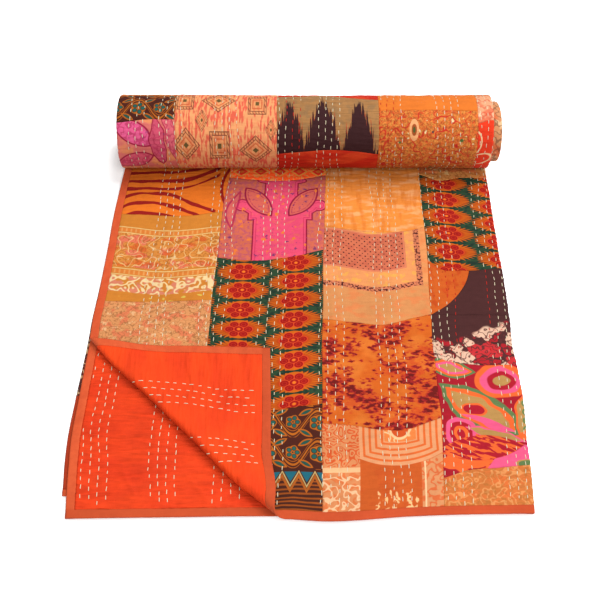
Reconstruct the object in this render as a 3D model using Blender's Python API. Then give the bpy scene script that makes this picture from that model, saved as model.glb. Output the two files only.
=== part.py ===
"""Patchwork quilt, folded lengthwise into four layers and rolled up from its far end.

Metres, +Z up. +X runs across the folded quilt and +Y from the near hem to the roll.
The origin lies on the surface, under the middle of the whole thing.
The cloth is laid out flat first, layer by layer, then the near left corner of the top
layer is bent back over its slanting fold, and a Solidify modifier gives it its thickness.
"""
import bpy
import bmesh
import numpy as np
from math import cos, pi, radians, sin

# Cloth and binding
CLOTH = 0.0012
PINCH = 0.45
HEM = 0.0015
HEM_WIDTH = 0.011
GAP = 0.0003
INSET = HEM_WIDTH + GAP

# The four layers, each a quarter of the quilt's width, and the height between them
QUARTER = 0.583
PITCH = 0.0020
LEVELS = {"bottom": 0, "third": 1, "second": 2, "top": 3}
FOLD_STEPS = 4
ABOVE_SECOND = 2.6 * PITCH
ABOVE_THIRD = 1.6 * PITCH

# Rows of points from the near hem to the roll, and plain columns where no stitching shows
ALONG = (0.045, 0.110, 0.190, 0.275, 0.360, 0.450, 0.530)
PLAIN = (0.0, 0.15, 0.30, 0.45, QUARTER)
HEM_LIFT_END = 0.030
ROLL_LIFT = 0.0003
ROLL_LIFT_REACH = 0.040
HEM_CLEAR = 0.0020
INTO_ROLL = 0.0050

# Marks that say which piece a face of the laid-out sheet belongs to
CLOTH_FACE = 1
BINDING_FACE = 2

# The roll at the far end
ROLL_Y = 0.614
ROLL_TURN = 0.0048
ROLL_FLAT = 0.006
CREVICE_ANGLE = 343.5
ROLL_STEP = 14.0
FIRST_ANGLE = 18.0
ROLL_LEFT = -0.2835
ROLL_RIGHT = 0.2890
ROLL_WIDTH = {"x": (-0.284, -0.150, 0.000, 0.150, 0.289),
              "radius": (0.0592, 0.0589, 0.0583, 0.0585, 0.0590)}
LEFT_END = {"share": (0.93, 0.84, 0.72, 0.62, 0.47, 0.37, 0.22, 0.12),
            "out": (0.0012, 0.0004, 0.0022, 0.0012, 0.0028, 0.0016, 0.0030, 0.0018)}
RIGHT_END = {"share": (0.95, 0.83, 0.80, 0.66, 0.58, 0.44, 0.36, 0.20, 0.12),
             "out": (0.0006, 0.0002, 0.0120, 0.0140, 0.0126, 0.0144, 0.0130, 0.0142, 0.0126)}

# How the edges wander: distances from the middle line, at a distance y from the near hem
SIDES = {"y": (-0.010, 0.000, 0.030, 0.075, 0.105, 0.165, 0.215, 0.260, 0.300, 0.342, 0.420, 0.500, 0.600),
         "top": (-0.298, -0.298, -0.298, -0.298, -0.299, -0.299, -0.299, -0.299, -0.299, -0.2960, -0.2925,
                 -0.2900, -0.2825),
         "second": (-0.297, -0.2975, -0.300, -0.3030, -0.3045, -0.3025, -0.3005, -0.2985, -0.2970, -0.2945,
                    -0.291, -0.2885, -0.2822),
         "fold": (-0.306, -0.306, -0.306, -0.3090, -0.3100, -0.3075, -0.3045, -0.3020, -0.3010, -0.2980,
                  -0.2940, -0.2915, -0.2828),
         "right": (0.2843, 0.2843, 0.2864, 0.2884, 0.2884, 0.2915, 0.2905, 0.2880, 0.2900, 0.2900, 0.2885,
                   0.2875, 0.2865)}

# How far each layer's near hem stands in (+) or out (-), by its share of the way across
NEAR = {"share": (0.00, 0.25, 0.38, 0.46, 0.56, 0.75, 1.00),
        "top": (-0.0030, -0.0085, -0.0090, -0.0045, -0.0077, -0.0005, 0.0030),
        "second": (-0.0032, -0.0010, 0.0000, 0.0002, 0.0010, 0.0020, 0.0040),
        "third": (0.0280, 0.0200, 0.0165, 0.0148, 0.0120, 0.0080, 0.0050),
        "bottom": (0.0290, 0.0210, 0.0175, 0.0158, 0.0130, 0.0090, 0.0050)}
NEAR_REACH = 0.25

# The corner turned back: its fold runs from the left edge to the near hem
FOLD_LEFT = np.array((-0.2975, 0.2607))
FOLD_NEAR = np.array((-0.0380, 0.0005))
FOLD_RADIUS_LEFT = 0.0045
FOLD_RADIUS_NEAR = 0.0080
FOLD_BOW = {"way": (0.00, 0.15, 0.35, 0.65, 0.88, 1.00),
            "out": (0.0000, 0.0058, 0.0052, 0.0036, 0.0044, 0.0000)}
BOW_REACH = 0.060
FLAP_DRAW = 0.974
FLAP_SETTLE = 0.070
FLAP_STEPS = (0.0, 0.2, 0.4, 0.6, 0.8, 1.0, 1.8, 3.6)

# Rows of running stitch, in groups of four along the quilt
STITCH_ROWS = 4
STITCH_SPACING = 0.0110
TOP_GROUPS = (0.084, 0.168, 0.250, 0.334, 0.415, 0.495)
SECOND_GROUPS = (0.046, 0.130, 0.213)
ROLL_GROUPS = (-0.258, -0.190, -0.108, -0.027, 0.045, 0.130, 0.215)
ROLL_TROUGH = 0.0006
END_ROUND = 0.0015
END_REACH = 0.0040
TROUGH_FADE = 40.0

# The whole thing is moved so that its middle is at the origin
MIDDLE_X = -0.0032
MIDDLE_Y = 0.3321


def curve(at, table, column, by):
    """A smooth line through a table's points, its slope at each taken from the neighbours."""
    knots = np.array(table[by], float)
    values = np.array(table[column], float)
    slopes = np.gradient(values, knots)
    i = np.clip(np.searchsorted(knots, at) - 1, 0, len(knots) - 2)
    step = knots[i + 1] - knots[i]
    f = np.clip((at - knots[i]) / step, 0.0, 1.0)
    start = (1 + 2 * f) * (1 - f) ** 2 * values[i] + f * (1 - f) ** 2 * step * slopes[i]
    return start + f * f * (3 - 2 * f) * values[i + 1] + f * f * (f - 1) * step * slopes[i + 1]


def smooth(f):
    """0 to 1, level at both ends."""
    f = min(max(f, 0.0), 1.0)
    return f * f * (3 - 2 * f)


def roll_radius(x):
    """Outer radius of the roll, which sags a little in its middle."""
    return float(curve(x, ROLL_WIDTH, "radius", "x"))


def roll_point(angle, x, trough):
    """A point on the roll's outside. The angle starts under its axis and runs up behind it."""
    whole = roll_radius(x)
    radius = whole - ROLL_TURN * angle / 360 - trough
    return x, ROLL_Y + radius * sin(radians(angle)), whole - radius * cos(radians(angle))


CREVICE_Y = roll_point(CREVICE_ANGLE, 0.0, 0.0)[1]


def layer_height(level, along):
    """Middle height of a layer: raised a little by the thicker hem, and again under the roll."""
    lift = np.interp(along, (INSET, HEM_LIFT_END), ((HEM - CLOTH) / 2, 0.0))
    lift += ROLL_LIFT * smooth((along - CREVICE_Y) / ROLL_LIFT_REACH + 1)
    return CLOTH / 2 + level * PITCH + lift


def near_shift(layer, share, along):
    """How far a point moves along the quilt because its near hem isn't straight."""
    fade = (1 - min(along / NEAR_REACH, 1.0)) ** 2
    return float(curve(share, NEAR, layer, "share")) * fade


def stitch_lines(groups):
    """Where the rows of stitch lie across the cloth, from the middles of their groups."""
    first = (STITCH_ROWS - 1) / 2
    return [middle + (row - first) * STITCH_SPACING for middle in groups for row in range(STITCH_ROWS)]


def columns(groups):
    """Places across a layer: each row of stitch, with the puffed cloth on both sides of it."""
    half = STITCH_SPACING / 2
    rows = stitch_lines(groups)
    puffs = {round(row + side * half, 5) for row in rows for side in (-1, 1)}
    wide = {round((a + b) / 2, 5) for a, b in zip(groups, groups[1:])}
    ends = [QUARTER - 0.040, QUARTER]
    return sorted(set(round(row, 5) for row in rows) | puffs | wide | set(ends))


def pinch(distance, groups):
    """Share of the full thickness: less on a row of stitch."""
    nearest = min(abs(distance - row) for row in stitch_lines(groups))
    return PINCH + (1 - PINCH) * smooth(nearest / (STITCH_SPACING / 2))


def flat_point(layer, distance, along, edge):
    """A point of a layer, a distance in from its left edge and along from the near hem."""
    y = along + near_shift(layer, min(distance / QUARTER, 1.0), along)
    fold = PITCH / 2
    right = float(curve(y, SIDES, "right", "y")) - 1.5 * PITCH - CLOTH / 2
    left = float(curve(y, SIDES, edge, "y"))
    if edge == "fold":
        left += fold + CLOTH / 2
    if distance <= INSET:
        x = left + distance
    else:
        x = left + INSET + (distance - INSET) / (QUARTER - INSET) * (right - left - INSET)
    return x, y, layer_height(LEVELS[layer], along)


def fold_arc(low, high, outward):
    """Points of the fold that joins a lower layer's edge to an upper one's."""
    low = np.array(low)
    high = np.array(high)
    middle = (low + high) / 2
    radius = (high[2] - low[2]) / 2
    lean = low[1] - middle[1]
    turns = [pi * step / FOLD_STEPS for step in range(1, FOLD_STEPS)]
    return [(middle[0] + outward * radius * sin(turn), middle[1] + lean * cos(turn),
             middle[2] - radius * cos(turn)) for turn in turns]


def station(along, tops, seconds):
    """One line of points across the whole quilt, from the top layer's edge to the second's."""
    top = [flat_point("top", d, along, "top") for d in tops]
    bottom = [flat_point("bottom", d, along, "fold") for d in PLAIN]
    third = [flat_point("third", d, along, "fold") for d in PLAIN]
    second = [flat_point("second", d, along, "second") for d in seconds]
    line = top + fold_arc(bottom[-1], top[-1], 1)[::-1] + bottom[::-1]
    line += fold_arc(bottom[0], third[0], -1) + third
    return line + fold_arc(third[-1], second[-1], 1) + second[::-1]


def lay_out():
    """The folded sheet before its corner is turned back, each face marked as cloth or hem."""
    edge = [0.0, HEM_WIDTH, INSET]
    hem_end = CREVICE_Y - HEM_CLEAR
    rows = edge + list(ALONG) + [hem_end, CREVICE_Y + INTO_ROLL]
    sheet = bmesh.new()
    piece = sheet.faces.layers.int.new("piece")
    tops = edge + columns(TOP_GROUPS)
    seconds = edge + columns(SECOND_GROUPS)
    grid = [[sheet.verts.new(p) for p in station(along, tops, seconds)] for along in rows]
    last = len(grid[0]) - 1
    for r in range(len(rows) - 1):
        for c in range(last):
            at_edge = min(c, last - 1 - c)
            hem = (r == 0 or at_edge == 0) and rows[r] < hem_end
            cloth = r > 1 and at_edge > 1
            if hem or cloth:
                face = sheet.faces.new((grid[r][c], grid[r][c + 1], grid[r + 1][c + 1], grid[r + 1][c]))
                face[piece] = BINDING_FACE if hem else CLOTH_FACE
    return sheet


def fold_frame():
    """The slanting fold: its direction from near to left, and the way to the turned corner."""
    run = FOLD_LEFT - FOLD_NEAR
    length = float(np.hypot(*run))
    run = run / length
    toward = np.array((-run[1], run[0]))
    if toward[0] + toward[1] > 0:
        toward = -toward
    return run, toward, length


def fold_radius(way):
    """Radius of the soft fold, by the share of the way from the near hem to the left edge."""
    return FOLD_RADIUS_NEAR + (FOLD_RADIUS_LEFT - FOLD_RADIUS_NEAR) * min(max(way, 0.0), 1.0)


def fold_bow(way):
    """How far the fold bulges toward the turned corner from a straight line."""
    return float(curve(min(max(way, 0.0), 1.0), FOLD_BOW, "out", "way"))


def turn_back(point):
    """Bend a point of the top layer round the slanting fold and lay it back on the cloth.

    The cuts along the fold are straight, so each point first moves out with the bulge.
    """
    run, toward, length = fold_frame()
    offset = np.array(point[:2]) - FOLD_NEAR
    way = float(offset @ run) / length
    radius = fold_radius(way)
    past = float(offset @ toward) + radius
    start = past - pi * radius / 2
    moved = fold_bow(way) * (1 - smooth((abs(start) - pi * radius / 2) / BOW_REACH))
    offset = offset + moved * toward
    past += moved - fold_bow(way)
    if past <= 0:
        return offset[0] + FOLD_NEAR[0], offset[1] + FOLD_NEAR[1], point[2]
    arc = pi * radius
    if past < arc:
        shift = radius * sin(past / radius)
        rise = radius * (1 - cos(past / radius))
    else:
        shift = -(past - arc) * FLAP_DRAW
        rise = PITCH + (2 * radius - PITCH) * (1 - smooth((past - arc) / FLAP_SETTLE))
    ground = offset - (past - shift) * toward + FOLD_NEAR
    return ground[0], ground[1], point[2] + rise


def cut_along_fold(sheet):
    """Give the top layer edges along the fold, so that it bends there smoothly."""
    run, toward, length = fold_frame()
    for step in FLAP_STEPS:
        faces = [f for f in sheet.faces if all(v.co.z > ABOVE_SECOND for v in f.verts)]
        near = FOLD_NEAR + toward * (step * pi - 1) * FOLD_RADIUS_NEAR
        left = FOLD_LEFT + toward * (step * pi - 1) * FOLD_RADIUS_LEFT
        across = left - near
        normal = (across[1], -across[0], 0.0)
        parts = set(faces) | {e for f in faces for e in f.edges} | {v for f in faces for v in f.verts}
        bmesh.ops.bisect_plane(sheet, geom=list(parts), plane_co=(near[0], near[1], 0.0), plane_no=normal,
                               dist=1e-6)


def material(name, colour, roughness):
    """A plain cloth finish."""
    made = bpy.data.materials.new(name)
    made.use_nodes = True
    shader = made.node_tree.nodes["Principled BSDF"]
    shader.inputs["Base Color"].default_value = (*colour, 1.0)
    shader.inputs["Roughness"].default_value = roughness
    shader.inputs["Metallic"].default_value = 0.0
    return made


def new_object(name, mesh_data, finish):
    """Put a bmesh into the scene as a named object."""
    mesh = bpy.data.meshes.new(name)
    mesh_data.to_mesh(mesh)
    mesh.materials.append(finish)
    made = bpy.data.objects.new(name, mesh)
    bpy.context.scene.collection.objects.link(made)
    made.location = (-MIDDLE_X, -MIDDLE_Y, 0.0)
    return made


def sheet_piece(name, sheet, kind, thickness, finish):
    """Cut one piece out of the laid-out sheet, fold its corner and thicken it."""
    own = sheet.copy()
    layer = own.faces.layers.int["piece"]
    bmesh.ops.delete(own, geom=[f for f in own.faces if f[layer] != kind], context="FACES")
    bmesh.ops.triangulate(own, faces=own.faces[:])
    own.verts.index_update()
    weights = []
    for v in own.verts:
        x, y, z = v.co
        width = QUARTER / (float(curve(y, SIDES, "right", "y")) - float(curve(y, SIDES, "top", "y")))
        from_left = (x - float(curve(y, SIDES, "top", "y"))) * width
        if z > ABOVE_SECOND:
            weights.append(pinch(from_left, TOP_GROUPS))
            v.co = turn_back((x, y, z))
        elif z > ABOVE_THIRD and from_left < SECOND_GROUPS[-1] + STITCH_ROWS * STITCH_SPACING:
            weights.append(pinch(from_left, SECOND_GROUPS))
        else:
            weights.append(1.0)
    bmesh.ops.recalc_face_normals(own, faces=own.faces[:])
    made = new_object(name, own, finish)
    own.free()
    solid = made.modifiers.new("thickness", "SOLIDIFY")
    solid.thickness = thickness
    solid.offset = 0.0
    solid.use_quality_normals = True
    if kind == CLOTH_FACE:
        group = made.vertex_groups.new(name="quilting")
        for index, weight in enumerate(weights):
            group.add([index], weight, "REPLACE")
        solid.vertex_group = "quilting"
        solid.thickness_vertex_group = 0.0
    return made


def roll_section(x, trough):
    """The roll's whole outline at one place along it, with the packed layers under its front."""
    line = [(x, CREVICE_Y, 0.0), (x, ROLL_Y + ROLL_FLAT, 0.0)]
    for angle in np.arange(FIRST_ANGLE, CREVICE_ANGLE - ROLL_STEP / 2, ROLL_STEP):
        line.append(roll_point(angle, x, trough * smooth((CREVICE_ANGLE - angle) / TROUGH_FADE)))
    line.append((x, CREVICE_Y, roll_point(CREVICE_ANGLE, x, 0.0)[2]))
    return line


def roll_ring(x, share):
    """A smaller ring of a roll's end, round its axis, with as many points as the outline."""
    whole = roll_radius(x)
    count = len(roll_section(0.0, 0.0))
    radius = share * (whole - ROLL_TURN)
    turns = [radians(CREVICE_ANGLE - 360 + 360 * i / count) for i in range(count)]
    return [(x, ROLL_Y + radius * sin(a), whole - radius * cos(a)) for a in turns]


def roll_shape():
    """The roll as one closed body: quilted outside, ends stepped where the turns slip."""
    lines = stitch_lines(ROLL_GROUPS)
    places = {round(line, 5): ROLL_TROUGH for line in lines}
    for line in lines:
        for side in (-1, 1):
            places.setdefault(round(line + side * STITCH_SPACING / 2, 5), 0.0)
    for end, inward in ((ROLL_LEFT, 1), (ROLL_RIGHT, -1)):
        places[end] = END_ROUND
        places[end + inward * END_REACH] = 0.0
    rings = [roll_ring(ROLL_LEFT - out, share) for share, out in zip(LEFT_END["share"], LEFT_END["out"])]
    rings.reverse()
    rings += [roll_section(x, places[x]) for x in sorted(places)]
    rings += [roll_ring(ROLL_RIGHT + out, share) for share, out in zip(RIGHT_END["share"], RIGHT_END["out"])]
    body = bmesh.new()
    grid = [[body.verts.new(p) for p in ring] for ring in rings]
    count = len(grid[0])
    for a, b in zip(grid, grid[1:]):
        for i in range(count):
            j = (i + 1) % count
            body.faces.new((a[i], a[j], b[j], b[i]))
    body.faces.new(grid[0])
    body.faces.new(grid[-1][::-1])
    bmesh.ops.triangulate(body, faces=body.faces[:])
    bmesh.ops.recalc_face_normals(body, faces=body.faces[:])
    return body


def build():
    """Make the quilted cloth with its roll, and the binding along its edges."""
    for old in list(bpy.data.objects):
        bpy.data.objects.remove(old)
    patchwork = material("patchwork", (0.62, 0.23, 0.09), 0.9)
    orange = material("orange_binding", (0.75, 0.15, 0.06), 0.85)
    sheet = lay_out()
    cut_along_fold(sheet)
    cloth = sheet_piece("quilt_body", sheet, CLOTH_FACE, CLOTH, patchwork)
    sheet_piece("binding", sheet, BINDING_FACE, HEM, orange)
    sheet.free()
    shape = roll_shape()
    roll = new_object("roll_form", shape, patchwork)
    shape.free()
    roll.hide_render = True
    roll.display_type = "WIRE"
    join = cloth.modifiers.new("roll", "BOOLEAN")
    join.operation = "UNION"
    join.solver = "EXACT"
    join.object = roll


build()
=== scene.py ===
"""Looks of a hand-stitched patchwork quilt, folded in four lengthwise and rolled up.

Metres, +Z up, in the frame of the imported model. The quilt is laid out flat in its own
coordinates, run across its width and along from the near hem, and one function folds,
turns back and rolls any point of it. Each patch, hem and thread is a piece on that sheet.
"""
import math

import bpy
import numpy as np
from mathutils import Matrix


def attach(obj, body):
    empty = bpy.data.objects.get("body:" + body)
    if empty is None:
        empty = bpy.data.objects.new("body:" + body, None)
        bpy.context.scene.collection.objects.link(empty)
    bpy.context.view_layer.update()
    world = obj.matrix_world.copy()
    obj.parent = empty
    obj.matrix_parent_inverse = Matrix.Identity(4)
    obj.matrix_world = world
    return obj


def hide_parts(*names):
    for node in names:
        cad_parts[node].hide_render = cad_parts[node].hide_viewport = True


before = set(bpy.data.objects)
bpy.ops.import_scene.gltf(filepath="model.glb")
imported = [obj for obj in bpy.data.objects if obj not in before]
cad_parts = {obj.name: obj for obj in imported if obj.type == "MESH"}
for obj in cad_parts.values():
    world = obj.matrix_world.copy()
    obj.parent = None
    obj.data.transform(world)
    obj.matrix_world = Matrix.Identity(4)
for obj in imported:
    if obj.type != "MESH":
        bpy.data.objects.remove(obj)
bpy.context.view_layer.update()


# The surface, the light and the camera
# A plain pale floor under soft light from all round, as on a studio table. The camera
# looks down at the near hem from the height and the angle of the photograph.
CAMERA_PLACE = (-0.0037, -0.8441, 1.1625)
CAMERA_DOWN = 53.93
CAMERA_LENS = 60.0
FLOOR_SIZE = 12.0
FLOOR_COLOUR = (0.93, 0.93, 0.93, 1.0)


def soft_lamp(name, place, turn, size, power):
    """A square lamp, turned in degrees about X, Y and Z."""
    lamp = bpy.data.lights.new(name, "AREA")
    lamp.energy = power
    lamp.size = size
    made = bpy.data.objects.new(name, lamp)
    made.location = place
    made.rotation_euler = [math.radians(a) for a in turn]
    bpy.context.scene.collection.objects.link(made)


floor_mesh = bpy.data.meshes.new("floor")
half_floor = FLOOR_SIZE / 2
floor_mesh.from_pydata([(-half_floor, -half_floor, 0), (half_floor, -half_floor, 0),
                        (half_floor, half_floor, 0), (-half_floor, half_floor, 0)], [], [(0, 1, 2, 3)])
floor = bpy.data.objects.new("floor", floor_mesh)
bpy.context.scene.collection.objects.link(floor)
floor_finish = bpy.data.materials.new("pale_floor")
floor_finish.use_nodes = True
floor_shader = floor_finish.node_tree.nodes["Principled BSDF"]
floor_shader.inputs["Base Color"].default_value = FLOOR_COLOUR
floor_shader.inputs["Roughness"].default_value = 0.9
floor_mesh.materials.append(floor_finish)

soft_lamp("lamp_right", (1.45, 1.0, 3.05), (-16, 25, 0), 2.6, 196)
soft_lamp("lamp_front", (0.3, -1.4, 1.9), (36, 9, 0), 1.2, 42)

world = bpy.data.worlds.new("studio")
bpy.context.scene.world = world
world.use_nodes = True
world.node_tree.nodes["Background"].inputs["Color"].default_value = (1.0, 1.0, 1.0, 1.0)
world.node_tree.nodes["Background"].inputs["Strength"].default_value = 0.62

camera_data = bpy.data.cameras.new("camera")
camera_data.lens = CAMERA_LENS
camera_data.sensor_width = 36.0
camera = bpy.data.objects.new("camera", camera_data)
camera.location = CAMERA_PLACE
camera.rotation_euler = (math.radians(90 - CAMERA_DOWN), 0.0, 0.0)
bpy.context.scene.collection.objects.link(camera)
bpy.context.scene.camera = camera
bpy.context.scene.view_settings.view_transform = "Standard"


# The lining
# Plain orange cotton on the back of the whole quilt. It shows on the corner of the top
# layer that is turned back, and on the second layer under it. The corner is painted lighter
# as painted light and the second layer darker as painted shade. Four layers lie folded.
CLOTH = 0.0012
GAP = 0.0020
PACKED_GAP = 0.0012
PACK_REACH = 0.045
QUARTER = 0.583
INSET = 0.0113
MIDDLE = np.array((-0.0032, 0.3321, -0.0005))

# Runs across the quilt at which one layer ends and the next begins, through its folds
OUTER_FOLD = math.pi * 1.5 * GAP
INNER_FOLD = math.pi * 0.5 * GAP
TOP_END = QUARTER
BOTTOM_START = TOP_END + OUTER_FOLD
BOTTOM_END = BOTTOM_START + QUARTER
THIRD_START = BOTTOM_END + INNER_FOLD
THIRD_END = THIRD_START + QUARTER
SECOND_START = THIRD_END + INNER_FOLD
WIDTH = SECOND_START + QUARTER

# The roll: its axis, how much each turn takes off, its outer radius along it, and how far
# the turns slip out sideways at its ends
ROLL_Y = 0.614
ROLL_OUTER = 0.0589
ROLL_TURN = 0.0048
ROLL_LEFT = -0.2835
ROLL_LONG = 0.57
ROLL_RADIUS = {"x": (-0.284, -0.150, 0.000, 0.150, 0.289),
               "radius": (0.0592, 0.0589, 0.0583, 0.0585, 0.0590)}
SLIP = {"turn": (0.0, 1.6, 2.0, 2.4, 3.4, 4.3, 5.5, 6.8, 8.0, 10.7),
        "out": (0.0, 0.0005, 0.0030, 0.0115, 0.0125, 0.0105, 0.0128, 0.0112, 0.0126, 0.0110)}

# Where the layers' sides and near hems lie: each wanders a little, as hand-folded cloth does
SIDES = {"y": (-0.010, 0.000, 0.030, 0.075, 0.105, 0.165, 0.215, 0.260, 0.300, 0.342, 0.420, 0.500, 0.600),
         "top": (-0.298, -0.298, -0.298, -0.298, -0.299, -0.299, -0.299, -0.299, -0.299, -0.2960, -0.2925,
                 -0.2900, -0.2825),
         "second": (-0.297, -0.2975, -0.300, -0.3030, -0.3045, -0.3025, -0.3005, -0.2985, -0.2970, -0.2945,
                    -0.291, -0.2885, -0.2822),
         "fold": (-0.306, -0.306, -0.306, -0.3090, -0.3100, -0.3075, -0.3045, -0.3020, -0.3010, -0.2980,
                  -0.2940, -0.2915, -0.2828),
         "right": (0.2843, 0.2843, 0.2864, 0.2884, 0.2884, 0.2915, 0.2905, 0.2880, 0.2900, 0.2900, 0.2885,
                   0.2875, 0.2865)}
NEAR = {"share": (0.00, 0.25, 0.38, 0.46, 0.56, 0.75, 1.00),
        "top": (-0.0030, -0.0085, -0.0090, -0.0045, -0.0077, -0.0005, 0.0030),
        "second": (-0.0032, -0.0010, 0.0000, 0.0002, 0.0010, 0.0020, 0.0040),
        "third": (0.0280, 0.0200, 0.0165, 0.0148, 0.0120, 0.0080, 0.0050),
        "bottom": (0.0290, 0.0210, 0.0175, 0.0158, 0.0130, 0.0090, 0.0050)}
NEAR_REACH = 0.25
HEM_LIFT = {"along": (INSET, 0.030), "lift": (0.00015, 0.0)}
WAVE_HIGH = 0.0006
WAVE_LONG = 0.16

# The slanting fold of the turned-back corner, from its left end to its near end
FOLD_LEFT = np.array((-0.2975, 0.2607))
FOLD_NEAR = np.array((-0.0380, 0.0005))
FOLD_RADIUS = {"way": (0.0, 1.0), "radius": (0.0080, 0.0045)}
FOLD_BOW = {"way": (0.00, 0.15, 0.35, 0.65, 0.88, 1.00),
            "out": (0.0000, 0.0058, 0.0052, 0.0036, 0.0044, 0.0000)}
BOW_REACH = 0.060
FLAP_DRAW = 0.974
FLAP_SETTLE = 0.070


def curve(at, table, column, by):
    """A smooth line through a table's points: a cubic between each two, whose slopes at the
    points are those of their neighbours."""
    knots = np.array(table[by], float)
    values = np.array(table[column], float)
    slopes = np.gradient(values, knots)
    i = np.clip(np.searchsorted(knots, at) - 1, 0, len(knots) - 2)
    step = knots[i + 1] - knots[i]
    f = np.clip((at - knots[i]) / step, 0.0, 1.0)
    low = (1 + 2 * f) * (1 - f) ** 2 * values[i] + f * (1 - f) ** 2 * step * slopes[i]
    return low + f * f * (3 - 2 * f) * values[i + 1] + f * f * (f - 1) * step * slopes[i + 1]


def ease(f):
    """0 to 1, level at both ends: three times the square less twice the cube."""
    f = np.clip(f, 0.0, 1.0)
    return f * f * (3 - 2 * f)


def swell(x, y, size, seed):
    """Soft uneven hills, about -1 to 1: a sum of five sine waves, each turned and shortened."""
    total = 0.0
    for k in range(5):
        turn = seed * 1.7 + k * 2.4
        length = size * (1.3 - 0.17 * k)
        toward = x * math.cos(turn) + y * math.sin(turn)
        total = total + np.sin(toward * 2 * math.pi / length + seed + k * k)
    return total / 3.2


def turned_back(x, y, z):
    """The top layer's near left corner, bent half round the slanting fold and laid back.
    A point past the fold's start goes round an arc, then returns the rest of its distance."""
    run = FOLD_LEFT - FOLD_NEAR
    length = float(np.hypot(*run))
    run = run / length
    toward = np.array((run[1], -run[0]))
    toward = toward if toward.sum() < 0 else -toward
    dx, dy = x - FOLD_NEAR[0], y - FOLD_NEAR[1]
    way = np.clip((dx * run[0] + dy * run[1]) / length, 0, 1)
    radius = np.interp(way, FOLD_RADIUS["way"], FOLD_RADIUS["radius"])
    bow = curve(way, FOLD_BOW, "out", "way")
    past = dx * toward[0] + dy * toward[1] + radius
    arc = math.pi * radius
    moved = bow * (1 - ease((np.abs(past - arc / 2) - arc / 2) / BOW_REACH))
    bent = past + moved - bow
    round_fold = np.clip(bent, 0, arc) / radius
    beyond = np.maximum(bent - arc, 0)
    shift = np.where(bent < arc, radius * np.sin(round_fold), -beyond * FLAP_DRAW)
    laid = GAP + (2 * radius - GAP) * (1 - ease(beyond / FLAP_SETTLE))
    rise = np.where(bent < arc, radius * (1 - np.cos(round_fold)), laid)
    move = np.where(bent > 0, shift + moved - bent, moved)
    rise = np.where(bent > 0, rise, 0.0)
    return x + move * toward[0], y + move * toward[1], z + rise


def roll_angle(past):
    """Angle wound, in radians, for a length of cloth rolled in: the turn where the spiral's
    mean radius times the angle, less what the turns take off, has used that length."""
    mean = ROLL_OUTER - ROLL_TURN / 2
    tighten = ROLL_TURN / (4 * math.pi)
    return (mean - np.sqrt(np.maximum(mean * mean - 4 * tighten * past, 0))) / (2 * tighten)


def middle_of(run, along):
    """The middle of the cloth's thickness at run across the quilt and along it, as x, y, z.
    Across, it runs over the top layer, round the outer fold, back under at the bottom, round
    a small fold to the third layer and round another to the second."""
    run, along = np.broadcast_arrays(np.asarray(run, float), np.asarray(along, float))
    packed = ease((along - ROLL_Y) / PACK_REACH + 1)
    gap = GAP + (PACKED_GAP - GAP) * packed
    starts = (TOP_END, BOTTOM_START, BOTTOM_END, THIRD_START, THIRD_END, SECOND_START)
    part = np.searchsorted(starts, run, side="right")
    each = [part == k for k in range(6)]
    folds = each[1::2]
    turn = np.select(folds, [(run - TOP_END) / (1.5 * GAP), (run - BOTTOM_END) / (0.5 * GAP),
                             (run - THIRD_END) / (0.5 * GAP)], 0.0)
    inward = np.select(each, [run, QUARTER, BOTTOM_END - run, 0.0, run - THIRD_START, QUARTER], WIDTH - run)
    share = inward / QUARTER
    near = {name: curve(share, NEAR, name, "share") for name in ("top", "bottom", "third", "second")}
    half = turn / math.pi
    shift = np.select(each, [near["top"], near["top"] * (1 - half) + near["bottom"] * half,
                             near["bottom"], near["bottom"] * (1 - half) + near["third"] * half,
                             near["third"], near["third"] * (1 - half) + near["second"] * half],
                      near["second"])
    y = along + shift * (1 - np.clip(along / NEAR_REACH, 0, 1)) ** 2
    right = curve(y, SIDES, "right", "y") - 1.5 * GAP - CLOTH / 2
    fold = curve(y, SIDES, "fold", "y") + GAP / 2 + CLOTH / 2
    edges = [curve(y, SIDES, name, "y") for name in ("top", "second")]
    left = np.select([part <= 1, part >= 5], edges, fold)
    spread = (np.maximum(inward, INSET) - INSET) / (QUARTER - INSET) * (right - left - INSET)
    x = left + np.minimum(inward, INSET) + spread
    x = x + np.select(folds, [1.5 * gap * np.sin(turn), -0.5 * gap * np.sin(turn),
                              0.5 * gap * np.sin(turn)], 0.0)
    level = np.select(each, [3.0, 1.5 + 1.5 * np.cos(turn), 0.0, 0.5 - 0.5 * np.cos(turn), 1.0,
                             1.5 - 0.5 * np.cos(turn)], 2.0)
    lift = np.interp(along, HEM_LIFT["along"], HEM_LIFT["lift"])
    z = CLOTH / 2 + level * gap + lift
    wave = WAVE_HIGH * swell(x, y, WAVE_LONG, 1.0) * (level + 0.3) / 3.3 * (1 - packed)
    z = z + wave * np.where(part == 0, 1.0, 0.6)
    # Roll up what lies past the axis
    angle = roll_angle(np.maximum(along - ROLL_Y, 0.0))
    whole = curve(x, ROLL_RADIUS, "radius", "x")
    reach = whole - ROLL_TURN * angle / (2 * math.pi) - z
    wound = along > ROLL_Y
    slip = curve(angle / (2 * math.pi), SLIP, "out", "turn")
    rolled = (x + slip * (x - ROLL_LEFT) / ROLL_LONG,
              ROLL_Y + reach * np.sin(angle),
              whole - reach * np.cos(angle))
    bent = turned_back(x, y, z)
    flap = (part == 0) & ~wound
    place = [np.where(wound, rolled[k], np.where(flap, bent[k], (x, y, z)[k])) for k in range(3)]
    return np.stack(place, -1) - MIDDLE


def on_cloth(run, along, lift):
    """A point off the cloth's middle: lift is positive on the patchwork side, along the
    cross product of the two directions on the cloth."""
    step = 0.0002
    here = middle_of(run, along)
    across = middle_of(run + step, along) - here
    length = middle_of(run, along + step) - here
    normal = np.cross(across, length)
    normal /= np.maximum(np.linalg.norm(normal, axis=-1, keepdims=True), 1e-12)
    return here + normal * np.asarray(lift)[..., None]


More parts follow.
